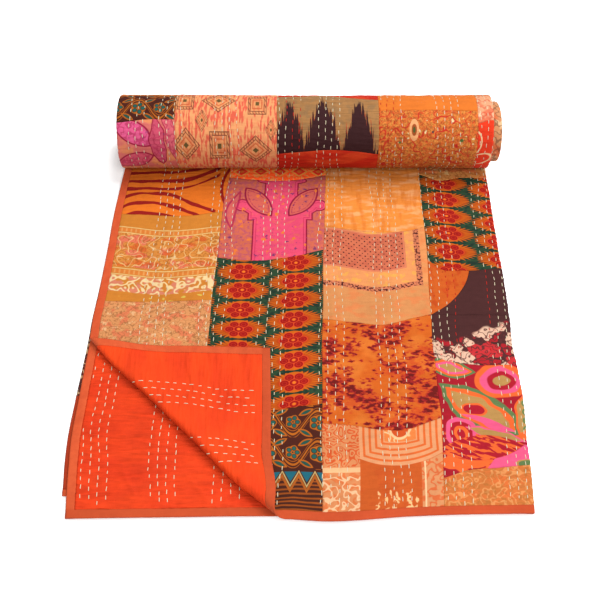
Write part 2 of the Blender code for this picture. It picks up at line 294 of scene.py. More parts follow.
def grid_faces(rows, columns, first, flip):
    """Quads of a grid whose points are numbered row by row from first."""
    i = first + np.arange(rows - 1)[:, None] * columns + np.arange(columns - 1)[None, :]
    quads = np.stack([i, i + 1, i + columns + 1, i + columns], -1).reshape(-1, 4)
    return quads[:, ::-1] if flip else quads


def new_mesh(name, points, quads, finish, place, stands_for):
    """A smooth piece from arrays of points and quads, with its place on the cloth as a UV map.
    It is tied to the quilt's body and takes the slot of the CAD node that it stands for."""
    mesh = bpy.data.meshes.new(name)
    mesh.vertices.add(len(points))
    mesh.vertices.foreach_set("co", np.ascontiguousarray(points, np.float32).ravel())
    mesh.loops.add(quads.size)
    mesh.loops.foreach_set("vertex_index", quads.astype(np.int32).ravel())
    mesh.polygons.add(len(quads))
    mesh.polygons.foreach_set("loop_start", np.arange(0, quads.size, 4, dtype=np.int32))
    layer = mesh.uv_layers.new(name="cloth")
    layer.data.foreach_set("uv", np.ascontiguousarray(place[quads.ravel()], np.float32).ravel())
    mesh.update(calc_edges=True)
    mesh.validate()
    mesh.shade_smooth()
    mesh.materials.append(finish)
    made = bpy.data.objects.new(name, mesh)
    bpy.context.scene.collection.objects.link(made)
    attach(made, "root")
    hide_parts(stands_for)
    return made


INNER_FACE = 0.00005


def cloth_piece(name, run, along, outer, inner, finish, stands_for="quilt_body", place=None):
    """One cut of cloth as a closed sheet: run and along are grids of places on the quilt,
    outer and inner its two faces off the middle, and place its own measure in metres, which
    is run and along where it isn't given."""
    rows, columns = run.shape
    count = rows * columns
    points = np.concatenate([on_cloth(run, along, outer).reshape(-1, 3),
                             on_cloth(run, along, inner).reshape(-1, 3)])
    upward = np.mean(outer) > np.mean(inner)
    handed = (run[0, -1] > run[0, 0]) == (along[-1, 0] > along[0, 0])
    flip = upward != handed
    faces = [grid_faces(rows, columns, 0, flip), grid_faces(rows, columns, count, not flip)]
    inside = np.arange(count).reshape(rows, columns)
    border = np.concatenate([inside[0, :-1], inside[:-1, -1], inside[-1, :0:-1], inside[:0:-1, 0]])
    after = np.roll(border, -1)
    rim = np.stack([border, border + count, after + count, after], -1)
    faces.append(rim[:, ::-1] if flip else rim)
    measure = np.stack(place or (run, along), -1).reshape(-1, 2)
    measure = np.concatenate([measure, measure])
    made = new_mesh(name, points, np.concatenate(faces), finish, measure, stands_for)
    cell = np.abs((run[1:, 1:] - run[:-1, :-1]) * (along[1:, :-1] - along[:-1, 1:])
                  - (run[1:, :-1] - run[:-1, 1:]) * (along[1:, 1:] - along[:-1, :-1])) / 2


def steps(start, end, pitch, edge=0.0):
    """Even places from start to end, with one more close to each end where edge is given."""
    count = max(int(round(abs(end - start) / pitch)), 1)
    places = np.linspace(0, 1, count + 1)
    if edge > 0:
        share = edge / abs(end - start)
        places = np.unique(np.concatenate([places, (share, 1 - share)]))
    return start + (end - start) * places


# How the prints are made: a value all over a cloth is a Field, masks are Fields from 0 to 1,
# and a Print paints one colour over another by masks, all measured in metres on the cloth
CLOTH_SHADE = (0.50, 0.49, 0.43)


def dye(seen):
    """A colour as it is seen in this light, white being 255 a channel, as the cloth's own
    linear colour: the standard curve of a screen, times the share that the light leaves."""
    shares = [((c / 255 + 0.055) / 1.055) ** 2.4 for c in seen]
    return tuple(shade * c for shade, c in zip(CLOTH_SHADE, shares)) + (1.0,)


class Field:
    """A value at every point of a cloth. Fields and numbers are joined with ordinary arithmetic."""

    def __init__(self, tree, socket):
        self.tree = tree
        self.socket = socket

    def by(self, operation, *others):
        """This value and the others through one of Blender's own Math operations."""
        node = self.tree.nodes.new("ShaderNodeMath")
        node.operation = operation
        for slot, value in zip(node.inputs, (self, *others)):
            if isinstance(value, Field):
                self.tree.links.new(value.socket, slot)
            else:
                slot.default_value = value
        return Field(self.tree, node.outputs["Value"])

    def __add__(self, other):
        return self.by("ADD", other)

    def __sub__(self, other):
        return self.by("SUBTRACT", other)

    def __rsub__(self, other):
        return self * -1.0 + other

    def __mul__(self, other):
        return self.by("MULTIPLY", other)

    def __truediv__(self, other):
        return self.by("DIVIDE", other)

    def __abs__(self):
        return self.by("ABSOLUTE")


def above(field, level, soft):
    """1 where a field is over a level and 0 under it, with a soft edge."""
    node = field.tree.nodes.new("ShaderNodeMapRange")
    node.interpolation_type = "SMOOTHSTEP"
    field.tree.links.new((field - level).socket, node.inputs["Value"])
    node.inputs["From Min"].default_value = -soft
    node.inputs["From Max"].default_value = soft
    return Field(field.tree, node.outputs["Result"])


def below(field, level, soft):
    """1 where a field is under a level and 0 over it, with a soft edge."""
    return above(field * -1.0, level * -1.0, soft)


def between(field, low, high, soft):
    """1 where a field is between two levels, with soft edges."""
    return above(field, low, soft) * below(field, high, soft)


def every(field, period, start=0.0):
    """Distance past the nearest of evenly spaced lines, from minus half the period to half."""
    return ((field - (start - period / 2)) / period).by("FRACT") * period - period / 2


def either(first, *others):
    """The highest of some fields: 1 where any of them is 1."""
    for other in others:
        first = first.by("MAXIMUM", other)
    return first


def waves(field, length, size, start=0.0):
    """A sine wave along a field, of a length and a size."""
    return ((field - start) * (2 * math.pi / length)).by("SINE") * size


def oval(u, v, middle, half, turn=0.0):
    """How far out a point is in a turned oval: 0 at its middle and 1 on its edge."""
    du, dv = u - middle[0], v - middle[1]
    c, s = math.cos(math.radians(turn)), math.sin(math.radians(turn))
    across, along = (du * c + dv * s) / half[0], (dv * c - du * s) / half[1]
    return (across * across + along * along).by("SQRT")


def leaf_shape(u, v, middle, half, turn=0.0):
    """How far out a point is in a turned leaf with two points: 0 along its middle and 1 on its
    edge, which is an arc through both points on each side."""
    radius = (half[0] ** 2 + half[1] ** 2) / (2 * half[1])
    du, dv = u - middle[0], v - middle[1]
    c, s = math.cos(math.radians(turn)), math.sin(math.radians(turn))
    along, across = du * c + dv * s, abs(dv * c - du * s) + (radius - half[1])
    return ((along * along + across * across).by("SQRT") - radius) / half[1] + 1.0


class Ground:
    """Where each point of a cloth lies, in metres on it, as two fields, and random fields there."""

    def __init__(self, tree, place):
        self.tree = tree
        apart = tree.nodes.new("ShaderNodeSeparateXYZ")
        tree.links.new(place, apart.inputs[0])
        self.place = place
        self.u = Field(tree, apart.outputs["X"])
        self.v = Field(tree, apart.outputs["Y"])

    def at(self, node, wide, long, seed, v=None):
        """Give a texture its place: cells so wide and so long, and another pattern for each seed."""
        spot = self.tree.nodes.new("ShaderNodeCombineXYZ")
        self.tree.links.new((self.u / wide).socket, spot.inputs["X"])
        self.tree.links.new(((v or self.v) / long).socket, spot.inputs["Y"])
        spot.inputs["Z"].default_value = seed
        self.tree.links.new(spot.outputs[0], node.inputs["Vector"])
        node.inputs["Scale"].default_value = 1.0

    def noise(self, wide, long, seed, detail=2.0, v=None):
        """Soft random hills from about -0.5 to 0.5, each so wide and so long."""
        node = self.tree.nodes.new("ShaderNodeTexNoise")
        node.inputs["Detail"].default_value = detail
        self.at(node, wide, long, seed, v)
        return Field(self.tree, node.outputs[0]) - 0.5

    def clouds(self, wide, long, seed, level, soft, detail=2.0):
        """Random patches: 1 where the noise is over a level, with a soft edge."""
        return above(self.noise(wide, long, seed, detail), level, soft)

    def scatter(self, wide, long, seed, loose=1.0):
        """Distance to the nearest of scattered points, in cells, and a random number for each."""
        node = self.tree.nodes.new("ShaderNodeTexVoronoi")
        node.inputs["Randomness"].default_value = loose
        self.at(node, wide, long, seed)
        return Field(self.tree, node.outputs["Distance"]), Field(self.tree, node.outputs["Color"])

    def swirls(self, size, count, width, seed):
        """Curling lines: the contours of soft hills, so many to a hill."""
        hills = self.noise(size, size, seed, 1.0) * count + 0.0
        return below(abs(every(hills, 1.0)), width, width * 0.5)


def mixed(tree, under, over, mask, kind="MIX"):
    """One colour over another, by a mask."""
    node = tree.nodes.new("ShaderNodeMix")
    node.data_type = "RGBA"
    node.blend_type = kind
    for slot, value in ((node.inputs[0], mask), (node.inputs[6], under), (node.inputs[7], over)):
        if isinstance(value, Field):
            tree.links.new(value.socket, slot)
        elif isinstance(value, bpy.types.NodeSocket):
            tree.links.new(value, slot)
        else:
            slot.default_value = value
    return node.outputs[2]


def cotton_group():
    """Worn cotton, shared by all the cloths: uneven fading, slubby threads, and the fine ripples
    that stitching draws up across the rows, which are a bump and also painted shade in the colour."""
    tree = bpy.data.node_groups.new("cotton", "ShaderNodeTree")
    for name, way, kind in (("Colour", "INPUT", "Color"), ("Place", "INPUT", "Vector"),
                            ("Ripple", "INPUT", "Float"), ("Colour", "OUTPUT", "Color"),
                            ("Normal", "OUTPUT", "Vector")):
        tree.interface.new_socket(name, in_out=way, socket_type="NodeSocket" + kind)
    enter = tree.nodes.new("NodeGroupInput")
    leave = tree.nodes.new("NodeGroupOutput")
    ground = Ground(tree, enter.outputs["Place"])
    threads = ground.noise(0.0008, 0.0090, 3.1) + ground.noise(0.0090, 0.0008, 5.7)
    fading = ground.noise(0.060, 0.060, 1.3) * 0.30 + ground.noise(0.007, 0.007, 8.2, 3.0) * 0.16
    ripples = ground.noise(0.028, 0.0052, 2.2, 1.0)
    # The ripples also lighten and darken the colour: painted shade of the relief. The fading and the threads
    # are the cloth's own.
    shade = fading + threads * 0.16 + ripples * Field(tree, enter.outputs["Ripple"]) * 0.13 + 1.0
    wear_and_ripple_shade = mixed(tree, enter.outputs["Colour"], shade, 1.0, "MULTIPLY")
    tree.links.new(wear_and_ripple_shade, leave.inputs["Colour"])
    height = ripples * Field(tree, enter.outputs["Ripple"]) + threads * 0.10
    bump = tree.nodes.new("ShaderNodeBump")
    bump.inputs["Distance"].default_value = 0.001
    tree.links.new(height.socket, bump.inputs["Height"])
    tree.links.new(bump.outputs["Normal"], leave.inputs["Normal"])
    return tree


COTTON = cotton_group()


class Print(Ground):
    """A printed cotton in the making: its material, and the colour printed on it so far."""

    def __init__(self, name, ground):
        self.finish = bpy.data.materials.new(name)
        self.finish.use_nodes = True
        tree = self.finish.node_tree
        place = tree.nodes.new("ShaderNodeUVMap")
        place.uv_map = "cloth"
        super().__init__(tree, place.outputs["UV"])
        self.colour = dye(ground)

    def paint(self, colour, mask):
        """Print a colour over the others where the mask is 1."""
        self.colour = mixed(self.tree, self.colour, dye(colour), mask)

    def done(self, ripple=1.3, roughness=0.85):
        """Wear the cotton, its ripples also painted into the colour as shade, and hand back its material."""
        wear_and_ripple_shade = self.tree.nodes.new("ShaderNodeGroup")
        wear_and_ripple_shade.node_tree = COTTON
        if isinstance(self.colour, bpy.types.NodeSocket):
            self.tree.links.new(self.colour, wear_and_ripple_shade.inputs["Colour"])
        else:
            wear_and_ripple_shade.inputs["Colour"].default_value = self.colour
        self.tree.links.new(self.place, wear_and_ripple_shade.inputs["Place"])
        wear_and_ripple_shade.inputs["Ripple"].default_value = ripple
        shader = self.tree.nodes["Principled BSDF"]
        self.tree.links.new(wear_and_ripple_shade.outputs["Colour"], shader.inputs["Base Color"])
        self.tree.links.new(wear_and_ripple_shade.outputs["Normal"], shader.inputs["Normal"])
        shader.inputs["Roughness"].default_value = roughness
        shader.inputs["Specular IOR Level"].default_value = 0.08
        return self.finish


def orange_lining(name, ground, ripple):
    """Orange lining cloth, a little redder in places."""
    made = Print(name, ground)
    made.paint((206, 44, 22), made.clouds(0.10, 0.04, 4.0, 0.02, 0.20) * 0.5)
    return made.done(ripple, 0.75)


# The same lining twice: painted lighter on the turned-back corner as painted light, and darker, with stronger
# painted ripple shade, on the second layer as painted shade
flap_lining_painted_lit = orange_lining("orange_lining_painted_lit", (252, 76, 26), 1.5)
lining_painted_shaded = orange_lining("orange_lining", (240, 70, 27), 3.4)

# Rows of running stitch in groups of four, measured in from a layer's left edge
ROWS = 4
SPACING = 0.0110
TOP_ROWS = (0.084, 0.168, 0.250, 0.334, 0.415, 0.495, 0.574)
SECOND_ROWS = (0.0315, 0.1205, 0.2020, 0.290, 0.370, 0.450, 0.535)
ROLL_ROWS = (0.0246, 0.0841, 0.1684, 0.2656, 0.3283, 0.4269, 0.5139, 0.5789)
TROUGH = 0.00050
TROUGH_WIDTH = 0.0024
RIPPLE = 0.00026
RIPPLE_PITCH = 0.0082
RIPPLE_REACH = 0.022
BROAD_HILLS = (0.00034, 0.052)
SMALL_HILLS = (0.00022, 0.017)
RELIEF_LIMIT = 0.00046
STITCH_PITCH = 0.0115

# Soft creases: the two ends of each, as distances in from the left edge and along, and the
# height and half width of its ridge and of the groove beside it
RIDGE = (0.00150, 0.0032)
GROOVE = (0.00060, 0.0022)
RIDGE_OFF = 0.0040
CREASES = ((0.022, 0.121, 0.080, 0.104), (0.070, 0.068, 0.094, 0.026), (0.150, 0.060, 0.185, 0.022),
           (0.196, 0.040, 0.240, 0.050), (0.385, 0.034, 0.455, 0.052), (0.495, 0.045, 0.540, 0.020),
           (0.520, 0.300, 0.575, 0.270), (0.345, 0.235, 0.385, 0.245), (0.450, 0.415, 0.500, 0.430),
           (0.040, 0.430, 0.095, 0.418), (0.060, 0.205, 0.118, 0.168))


def stray(inward, along):
    """How far a row of stitch wanders: two slow waves that change from row to row."""
    return 0.0022 * np.sin(along * 27 + inward * 19) + 0.0009 * np.sin(along * 71 + inward * 55)


def rows_in(groups):
    """How far in each row of stitch lies, from the middles of the groups."""
    return np.array([m + (row - (ROWS - 1) / 2) * SPACING for m in groups for row in range(ROWS)])


def groups_of(run):
    """The groups of rows on a layer, and how far in from its left edge a place on it is."""
    if np.max(run) <= BOTTOM_START:
        return TOP_ROWS, run
    if np.mean(run) < THIRD_START:
        return ROLL_ROWS, BOTTOM_END - run
    return SECOND_ROWS, WIDTH - run


def quilting(run, along):
    """Relief of the quilted cloth: a trough along each row, puckered by its stitches, low
    ripples across the rows, and soft unevenness."""
    groups, inward = groups_of(run)
    wander = stray(inward, along)
    rows = rows_in(groups)
    away = np.abs((inward - wander)[..., None] - rows).min(-1)
    group = np.abs((inward - wander)[..., None] - np.array(groups)).min(-1)
    pucker = 1 + 0.4 * np.cos(along * 2 * math.pi / STITCH_PITCH + inward * 40)
    trough = -TROUGH * np.exp(-(away / TROUGH_WIDTH) ** 2) * pucker
    bend = 1.6 * np.sin(inward * 90) + 2 * np.sin(along * 37)
    ripple = RIPPLE * np.sin(along * 2 * math.pi / RIPPLE_PITCH + bend)
    ripple = ripple * (0.35 + 0.65 * ease(1.7 - group / RIPPLE_REACH))
    uneven = BROAD_HILLS[0] * swell(inward, along, BROAD_HILLS[1], 2.0)
    uneven = uneven + SMALL_HILLS[0] * swell(inward, along, SMALL_HILLS[1], 5.0) + 0.00014
    for x0, y0, x1, y1 in CREASES:
        length = math.hypot(x1 - x0, y1 - y0)
        way = ((inward - x0) * (x1 - x0) + (along - y0) * (y1 - y0)) / length ** 2
        off = ((inward - x0) * (y1 - y0) - (along - y0) * (x1 - x0)) / length
        ridge = RIDGE[0] * np.exp(-((off - RIDGE_OFF) / RIDGE[1]) ** 2)
        groove = GROOVE[0] * np.exp(-(off / GROOVE[1]) ** 2)
        uneven = uneven + (ridge - groove) * ease(way * 4) * ease((1 - way) * 4)
    return np.maximum(trough + ripple + uneven, -RELIEF_LIMIT)


# Its points lie close together where it can be seen, and on the small folds
PATCH_PITCH = 0.0025
FINE_PITCH = 0.0022
BACK_PITCH = 0.004
HIDDEN_PITCH = 0.02
BROAD_PITCH = 0.05
FOLD_PITCH = 0.0006
lining_alongs = np.concatenate([steps(INSET, 0.30, PATCH_PITCH), steps(0.31, ROLL_Y, HIDDEN_PITCH)])
run, along = np.meshgrid(np.concatenate([steps(INSET, 0.33, PATCH_PITCH),
                                         steps(0.345, BOTTOM_START, HIDDEN_PITCH)]),
                         lining_alongs)
cloth_piece("lining_top", run, along, -CLOTH / 2 - quilting(run, along), -INNER_FACE, flap_lining_painted_lit)

run, along = np.meshgrid(np.concatenate([steps(BOTTOM_START, BOTTOM_END, BROAD_PITCH),
                                         steps(BOTTOM_END, THIRD_START, FOLD_PITCH)[1:],
                                         steps(THIRD_START, THIRD_END, BROAD_PITCH)[1:],
                                         steps(THIRD_END, SECOND_START, FOLD_PITCH)[1:],
                                         steps(SECOND_START + 0.01, WIDTH - 0.34, HIDDEN_PITCH),
                                         steps(WIDTH - 0.33, WIDTH - INSET, PATCH_PITCH)]),
                         lining_alongs)
relief = np.where(run > SECOND_START, quilting(np.maximum(run, THIRD_START), along), 0.0)
cloth_piece("lining_under", run, along, -CLOTH / 2 - relief, -INNER_FACE, lining_painted_shaded,
            place=(WIDTH - run, along))


# The underside and the inner turns
# The same patchwork on the hidden layers: squares of mixed plain and floral cottons. It is
# seen along the edges, on the ends of the roll and from behind, never laid open.
mixture = Print("mixed_patches", (222, 130, 70))
square = ((mixture.u / 0.143).by("FLOOR") * 7.31 + (mixture.v / 0.121).by("FLOOR") * 3.77).by("SINE") * 43.7
number = square.by("FRACT")
for low, colour in ((0.18, (150, 40, 30)), (0.34, (225, 165, 110)), (0.52, (70, 90, 70)),
                    (0.64, (215, 95, 95)), (0.80, (235, 140, 60)), (0.92, (85, 45, 42))):
    mixture.paint(colour, above(number, low, 0.001))
mixture.paint((245, 205, 160), mixture.swirls(0.016, 5.0, 0.16, 2.0) * 0.65)
mixture.paint((120, 35, 25), mixture.swirls(0.011, 4.0, 0.12, 6.0) * 0.55)
# Near the fold at the left edge, over the near stretch: the lower layers' plain red-orange cloth, darkened as
# painted shade
near_fold = between(mixture.u, THIRD_START - 0.06, THIRD_START + 0.06, 0.001)
mixture.paint((176, 60, 32), near_fold * below(mixture.v, 0.17, 0.001))
mixed_finish = mixture.done()


def small_floral(name, ground, bloom, pale, outline, size):
    """A small all-over floral: blooms and pale leaves on a ground, their outlines curling."""
    made = Print(name, ground)
    made.paint(bloom, made.clouds(size * 2.2, size * 2.0, 4.0, 0.04, 0.05))
    made.paint(pale, made.clouds(size * 1.4, size * 1.2, 8.0, 0.12, 0.05) * 0.9)
    made.paint(outline, made.swirls(size, 4.0, 0.12, 3.0) * 0.65)
    return made.done()


wound_finish = small_floral("wound_floral", (216, 150, 108), (222, 116, 74), (240, 204, 164),
                            (110, 66, 54), 0.013)

under_runs = np.concatenate([steps(BOTTOM_START, BOTTOM_END, 0.03),
                             steps(BOTTOM_END, THIRD_START, FOLD_PITCH)[1:],
                             steps(THIRD_START, THIRD_END, BROAD_PITCH)[1:],
                             steps(THIRD_END, SECOND_START, FOLD_PITCH)[1:],
                             steps(SECOND_START, WIDTH - INSET, BROAD_PITCH)[1:]])
run, along = np.meshgrid(under_runs, np.concatenate([steps(INSET, 0.30, 0.006), steps(0.31, ROLL_Y, 0.01)]))
cloth_piece("patches_under", run, along, CLOTH / 2, INNER_FACE, mixed_finish)

# The wound turns: an outermost one that the patches cover, then the rest to the middle
FIRST_TURN = 352
TURN_DEGREES = 3850
TURN_STEP = 9
WOUND_LENGTH = 2.06
WOUND_HALF = 0.0005


def across_layer(start, end):
    """Places across a layer: close together near its two sides, where the turns show."""
    return np.array((start, start + 0.004, start + 0.012, (start + end) / 2, end - 0.012, end - 0.004, end))


def wound_places(first, last):
    """Places along the quilt, one for each few degrees of the roll, between two angles."""
    past = np.linspace(0, WOUND_LENGTH, 4000)
    angles = np.linspace(first, last, int((last - first) / TURN_STEP) + 1)
    return ROLL_Y + np.interp(angles, np.degrees(roll_angle(past)), past)


wound_runs = np.unique(np.concatenate([
    across_layer(0.0, TOP_END), steps(TOP_END, BOTTOM_START, 0.0012), across_layer(BOTTOM_START, BOTTOM_END),
    steps(BOTTOM_END, THIRD_START, FOLD_PITCH), across_layer(THIRD_START, THIRD_END),
    steps(THIRD_END, SECOND_START, FOLD_PITCH), across_layer(SECOND_START, WIDTH)]))
for name, keep, first, last in (("wound_top", wound_runs <= TOP_END, 0, FIRST_TURN),
                                ("wound_under", wound_runs >= THIRD_START, 0, FIRST_TURN),
                                ("wound_turns", wound_runs >= 0, FIRST_TURN, TURN_DEGREES)):
    run, along = np.meshgrid(wound_runs[keep], wound_places(first, last))
    cloth_piece(name, run, along, WOUND_HALF, -WOUND_HALF, wound_finish)


# The first column of patches
# Three printed cottons one below the other: amber with dark brush waves, ochre with bands of
# curling leaves, and a small peach floral that runs under the turned-back corner.
EDGE_STEP = 0.0016
SEAM_DIP = 0.00030
SEAM_WIDTH = 0.0020
CORRECTIONS = 6

# Where a print's own u and v are 0: the quilt's middle on the top layer, the front of the roll
TOP_MIDDLE = 0.2975
ROLL_MIDDLE = 0.2860
FACE_ALONG = ROLL_Y + 0.2193


def on_top(points):
    """Where places seen on the top layer lie on the flat quilt, as runs and alongs. The
    wandering edges are undone by a few rounds of correction."""
    x, y = np.array(points, float).T
    run, along = x + 0.298, y.copy()
    for _ in range(5):
        shift = curve(run / QUARTER, NEAR, "top", "share")
        along = y - shift * (1 - np.clip(along / NEAR_REACH, 0, 1)) ** 2
        left = curve(y, SIDES, "top", "y")
        right = curve(y, SIDES, "right", "y") - 1.5 * GAP - CLOTH / 2
        run = INSET + (x - left - INSET) / (right - left - INSET) * (QUARTER - INSET)
    return run, along


def on_roll(points):
    """Where places on the roll's outside, as x and degrees round it, lie on the flat quilt."""
    x, degrees = np.array(points, float).T
    left = SIDES["fold"][-1] + (GAP + CLOTH) / 2
    right = SIDES["right"][-1] - 1.5 * GAP - CLOTH / 2
    inward = INSET + (x - left - INSET) / (right - left - INSET) * (QUARTER - INSET)
    turn = np.radians(degrees)
    along = ROLL_Y + (ROLL_OUTER - ROLL_TURN / 2) * turn - ROLL_TURN / (4 * math.pi) * turn ** 2
    return BOTTOM_END - inward, along


def seam(points, where=on_top, by="along"):
    """A seam through places in metres, as a table of runs against alongs, or the other way."""
    run, along = where(points)
    order = np.argsort(along if by == "along" else run)
    return {"run": run[order], "along": along[order]}


def cross_seam(points):
    """A seam on the top layer that crosses a column of patches."""
    return seam(points, by="run")


def at_seam(line, places, to, by):
    """Where a seam is at some places: its own curve, or the same number all along."""
    return curve(places, line, to, by) if isinstance(line, dict) else places * 0 + line


def patch(name, sides, ends, finish, shift=(0.0, 0.0), pitch=PATCH_PITCH):
    """One patch between its two side seams and its two end seams, each a table or a plain
    number. Its points share the seams evenly, found by a few rounds of correction."""
    middle = np.mean([np.mean(side["run"]) if isinstance(side, dict) else side for side in sides])
    reach = [float(at_seam(end, np.array([middle]), "along", "run")[0]) for end in ends]
    half_way = np.array([sum(reach) / 2])
    span = [float(at_seam(side, half_way, "run", "along")[0]) for side in sides]
    across = steps(0.0, 1.0, pitch / abs(span[1] - span[0]), EDGE_STEP / abs(span[1] - span[0]))
    length = steps(0.0, 1.0, pitch / abs(reach[1] - reach[0]), EDGE_STEP / abs(reach[1] - reach[0]))
    a, b = np.meshgrid(across, length)
    run = span[0] + a * (span[1] - span[0])
    along = reach[0] + b * (reach[1] - reach[0])
    for _ in range(CORRECTIONS):
        low, high = (at_seam(side, along, "run", "along") for side in sides)
        run = low + a * (high - low)
        near, far = (at_seam(end, run, "along", "run") for end in ends)
        along = near + b * (far - near)
    wide, long = float(np.ptp(run)), float(np.ptp(along))
    edge = np.minimum(np.minimum(a, 1 - a) * wide, np.minimum(b, 1 - b) * long)
    relief = quilting(run, along) - SEAM_DIP * np.exp(-(edge / SEAM_WIDTH) ** 2)
    if np.mean(run) < BOTTOM_START:
        u, v = run - TOP_MIDDLE, along
    else:
        u, v = BOTTOM_END - run - ROLL_MIDDLE, FACE_ALONG - along
    cloth_piece(name, run, along, CLOTH / 2 + relief, INNER_FACE, finish, place=(u + shift[0], v + shift[1]))


brush = Print("amber_waves", (236, 120, 37))
wobble = brush.noise(0.05, 0.03, 1.0, 1.0) * 0.009
climb = (brush.u + 0.218).by("MAXIMUM", 0.0)
upper = brush.v - climb * climb * 5.1 + wobble
lean = (brush.u + 0.222) * 0.25
droop = (brush.u + 0.258).by("MINIMUM", 0.0)
lower = brush.v + lean + (lean * lean + 0.000004).by("SQRT") + droop * droop * 11.0 + wobble
thick = brush.noise(0.045, 0.02, 4.0, 1.0) * 0.0068
upper_strokes = below(abs(every(upper, 0.0165, 0.5435)) - thick, 0.0031, 0.0004)
upper_strokes = upper_strokes * above(upper, 0.5385, 0.0004)
lower_strokes = below(abs(every(lower, 0.0200, 0.5345)) - thick, 0.0034, 0.0004)
lower_strokes = lower_strokes * below(lower, 0.5400, 0.0004)
brush.paint((154, 28, 26), either(upper_strokes, lower_strokes) * below(brush.u, -0.1410, 0.002))
steep = abs(brush.u + 0.1360 - (brush.v - 0.548) * (brush.v - 0.548) * 6.8)
brush.paint((154, 28, 26), below(steep, 0.0026, 0.0004))
amber_finish = brush.done()

bands = Print("ochre_bands", (210, 130, 50))
sag = bands.v + waves(bands.u, 0.19, 0.0045, -0.255)
leaves = between(sag, 0.388, 0.4505, 0.0006)
bands.paint((220, 140, 66), leaves)
bands.paint((230, 112, 98), bands.clouds(0.034, 0.018, 3.0, 0.05, 0.05, 2.0) * leaves * 0.8)
bands.paint((218, 92, 42), bands.clouds(0.026, 0.015, 9.0, 0.07, 0.04, 3.0) * leaves * 0.8)
bands.paint((160, 92, 36), bands.swirls(0.012, 6.0, 0.13, 6.0) * leaves * 0.6)
bands.paint((244, 206, 150), bands.swirls(0.028, 7.0, 0.075, 2.0) * leaves * 0.65)
bands.paint((246, 216, 170), bands.clouds(0.018, 0.010, 21.0, 0.17, 0.04, 3.0) * leaves * 0.7)
for middle in (0.4625, 0.4515, 0.3845, 0.3735):
    bands.paint((240, 206, 146), below(abs(sag - middle), 0.0008, 0.0005) * 0.8)
dotted = either(between(sag, 0.4535, 0.4605, 0.0006), between(sag, 0.3755, 0.3825, 0.0006))
bands.paint((222, 126, 58), dotted * 0.8)
bands.paint((236, 172, 104), below(abs(every(bands.u, 0.0072)), 0.0012, 0.0006) * dotted * 0.6)
scroll = between(sag, 0.3435, 0.3715, 0.0008)
bands.paint((222, 130, 116), bands.clouds(0.016, 0.014, 5.0, 0.0, 0.06) * scroll * 0.8)
bands.paint((246, 220, 172), bands.swirls(0.0155, 4.5, 0.20, 7.0) * scroll * 0.9)
bands.paint((226, 206, 96), bands.clouds(0.016, 0.010, 11.0, 0.12, 0.03) * below(sag, 0.3405, 0.0008) * 0.8)
bands_finish = bands.done()

peach_finish = small_floral("peach_floral", (222, 150, 100), (226, 126, 88), (238, 184, 140),
                            (150, 98, 58), 0.0070)

CORNER_FAR = 0.198
seam_1 = seam([(-0.140, 0.012), (-0.1385, 0.130), (-0.1351, 0.252), (-0.1338, 0.289), (-0.1328, 0.341),
               (-0.1289, 0.409), (-0.1254, 0.493), (-0.1226, 0.534), (-0.1174, 0.569), (-0.119, 0.614)])
seam_1ab = cross_seam([(-0.300, 0.4922), (-0.283, 0.4916), (-0.241, 0.4896), (-0.180, 0.4877),
                       (-0.127, 0.4964), (-0.110, 0.498)])
seam_1bc = cross_seam([(-0.300, 0.3285), (-0.283, 0.328), (-0.208, 0.3265), (-0.127, 0.3295),
                       (-0.110, 0.330)])
patch("patch_amber_waves", (INSET, seam_1), (seam_1ab, ROLL_Y), amber_finish)
patch("patch_ochre_bands", (INSET, seam_1), (seam_1bc, seam_1ab), bands_finish)
patch("patch_peach_floral", (INSET, seam_1), (CORNER_FAR, seam_1bc), peach_finish)


# The second column of patches
# Small diamonds by the roll, a rose cotton with a large magenta vase, rows of orange flowers
# on green, and a dark brown cotton with a vine, triangles and stripes at the near hem.
# Painted light: the diamonds' ground is brighter than white, lifting the shade that the roll casts on this
# strip
gem = Print("red_diamonds", (300, 108, 46))
gem_u, gem_v = every(gem.u, 0.031, -0.045), every(gem.v, 0.030, 0.580)
lozenge = abs(gem_u) / 0.0150 + abs(gem_v) / 0.0125
gem.paint((255, 176, 84), between(lozenge, 0.72, 0.95, 0.06))
gem.paint((250, 60, 42), below(lozenge, 0.66, 0.06))
gem.paint((236, 120, 50), below(lozenge, 0.30, 0.06))
gem.paint((255, 190, 110), gem.swirls(0.010, 4.0, 0.13, 3.0) * above(lozenge, 1.05, 0.05) * 0.7)
gem_finish = gem.done()

vase = Print("rose_vase", (214, 106, 86))
vase.paint((180, 80, 118), vase.clouds(0.006, 0.006, 2.0, 0.02, 0.06, 4.0) * 0.55)
mirror = abs(vase.u + 0.0405)


def vase_shape(drawn_in):
    """A vase, all edges drawn in by so much: a straight foot, a step out, broad rounded
    shoulders with two round handles, and a lip."""
    d = drawn_in
    foot = below(mirror, 0.0420 - d, 0.0004) * below(vase.v, 0.4950, 0.0004)
    step = below(mirror, 0.0505 - d, 0.0004) * between(vase.v, 0.4780 + d, 0.5050, 0.0004)
    shoulder = below(oval(mirror, vase.v, (0.0, 0.5080), (0.0620 - d, 0.0270 - d)), 1.0, 0.02)
    handle = below(oval(mirror, vase.v, (0.0600, 0.5090), (0.0125 - d, 0.0120 - d)), 1.0, 0.03)
    neck = below(mirror, 0.0270 - d, 0.0004) * between(vase.v, 0.5100, 0.5600, 0.0004)
    lip = below(oval(mirror, vase.v, (0.0160, 0.5600), (0.0240 - d, 0.0075 - d)), 1.0, 0.03)
    return either(foot, step, shoulder, handle, neck, lip)


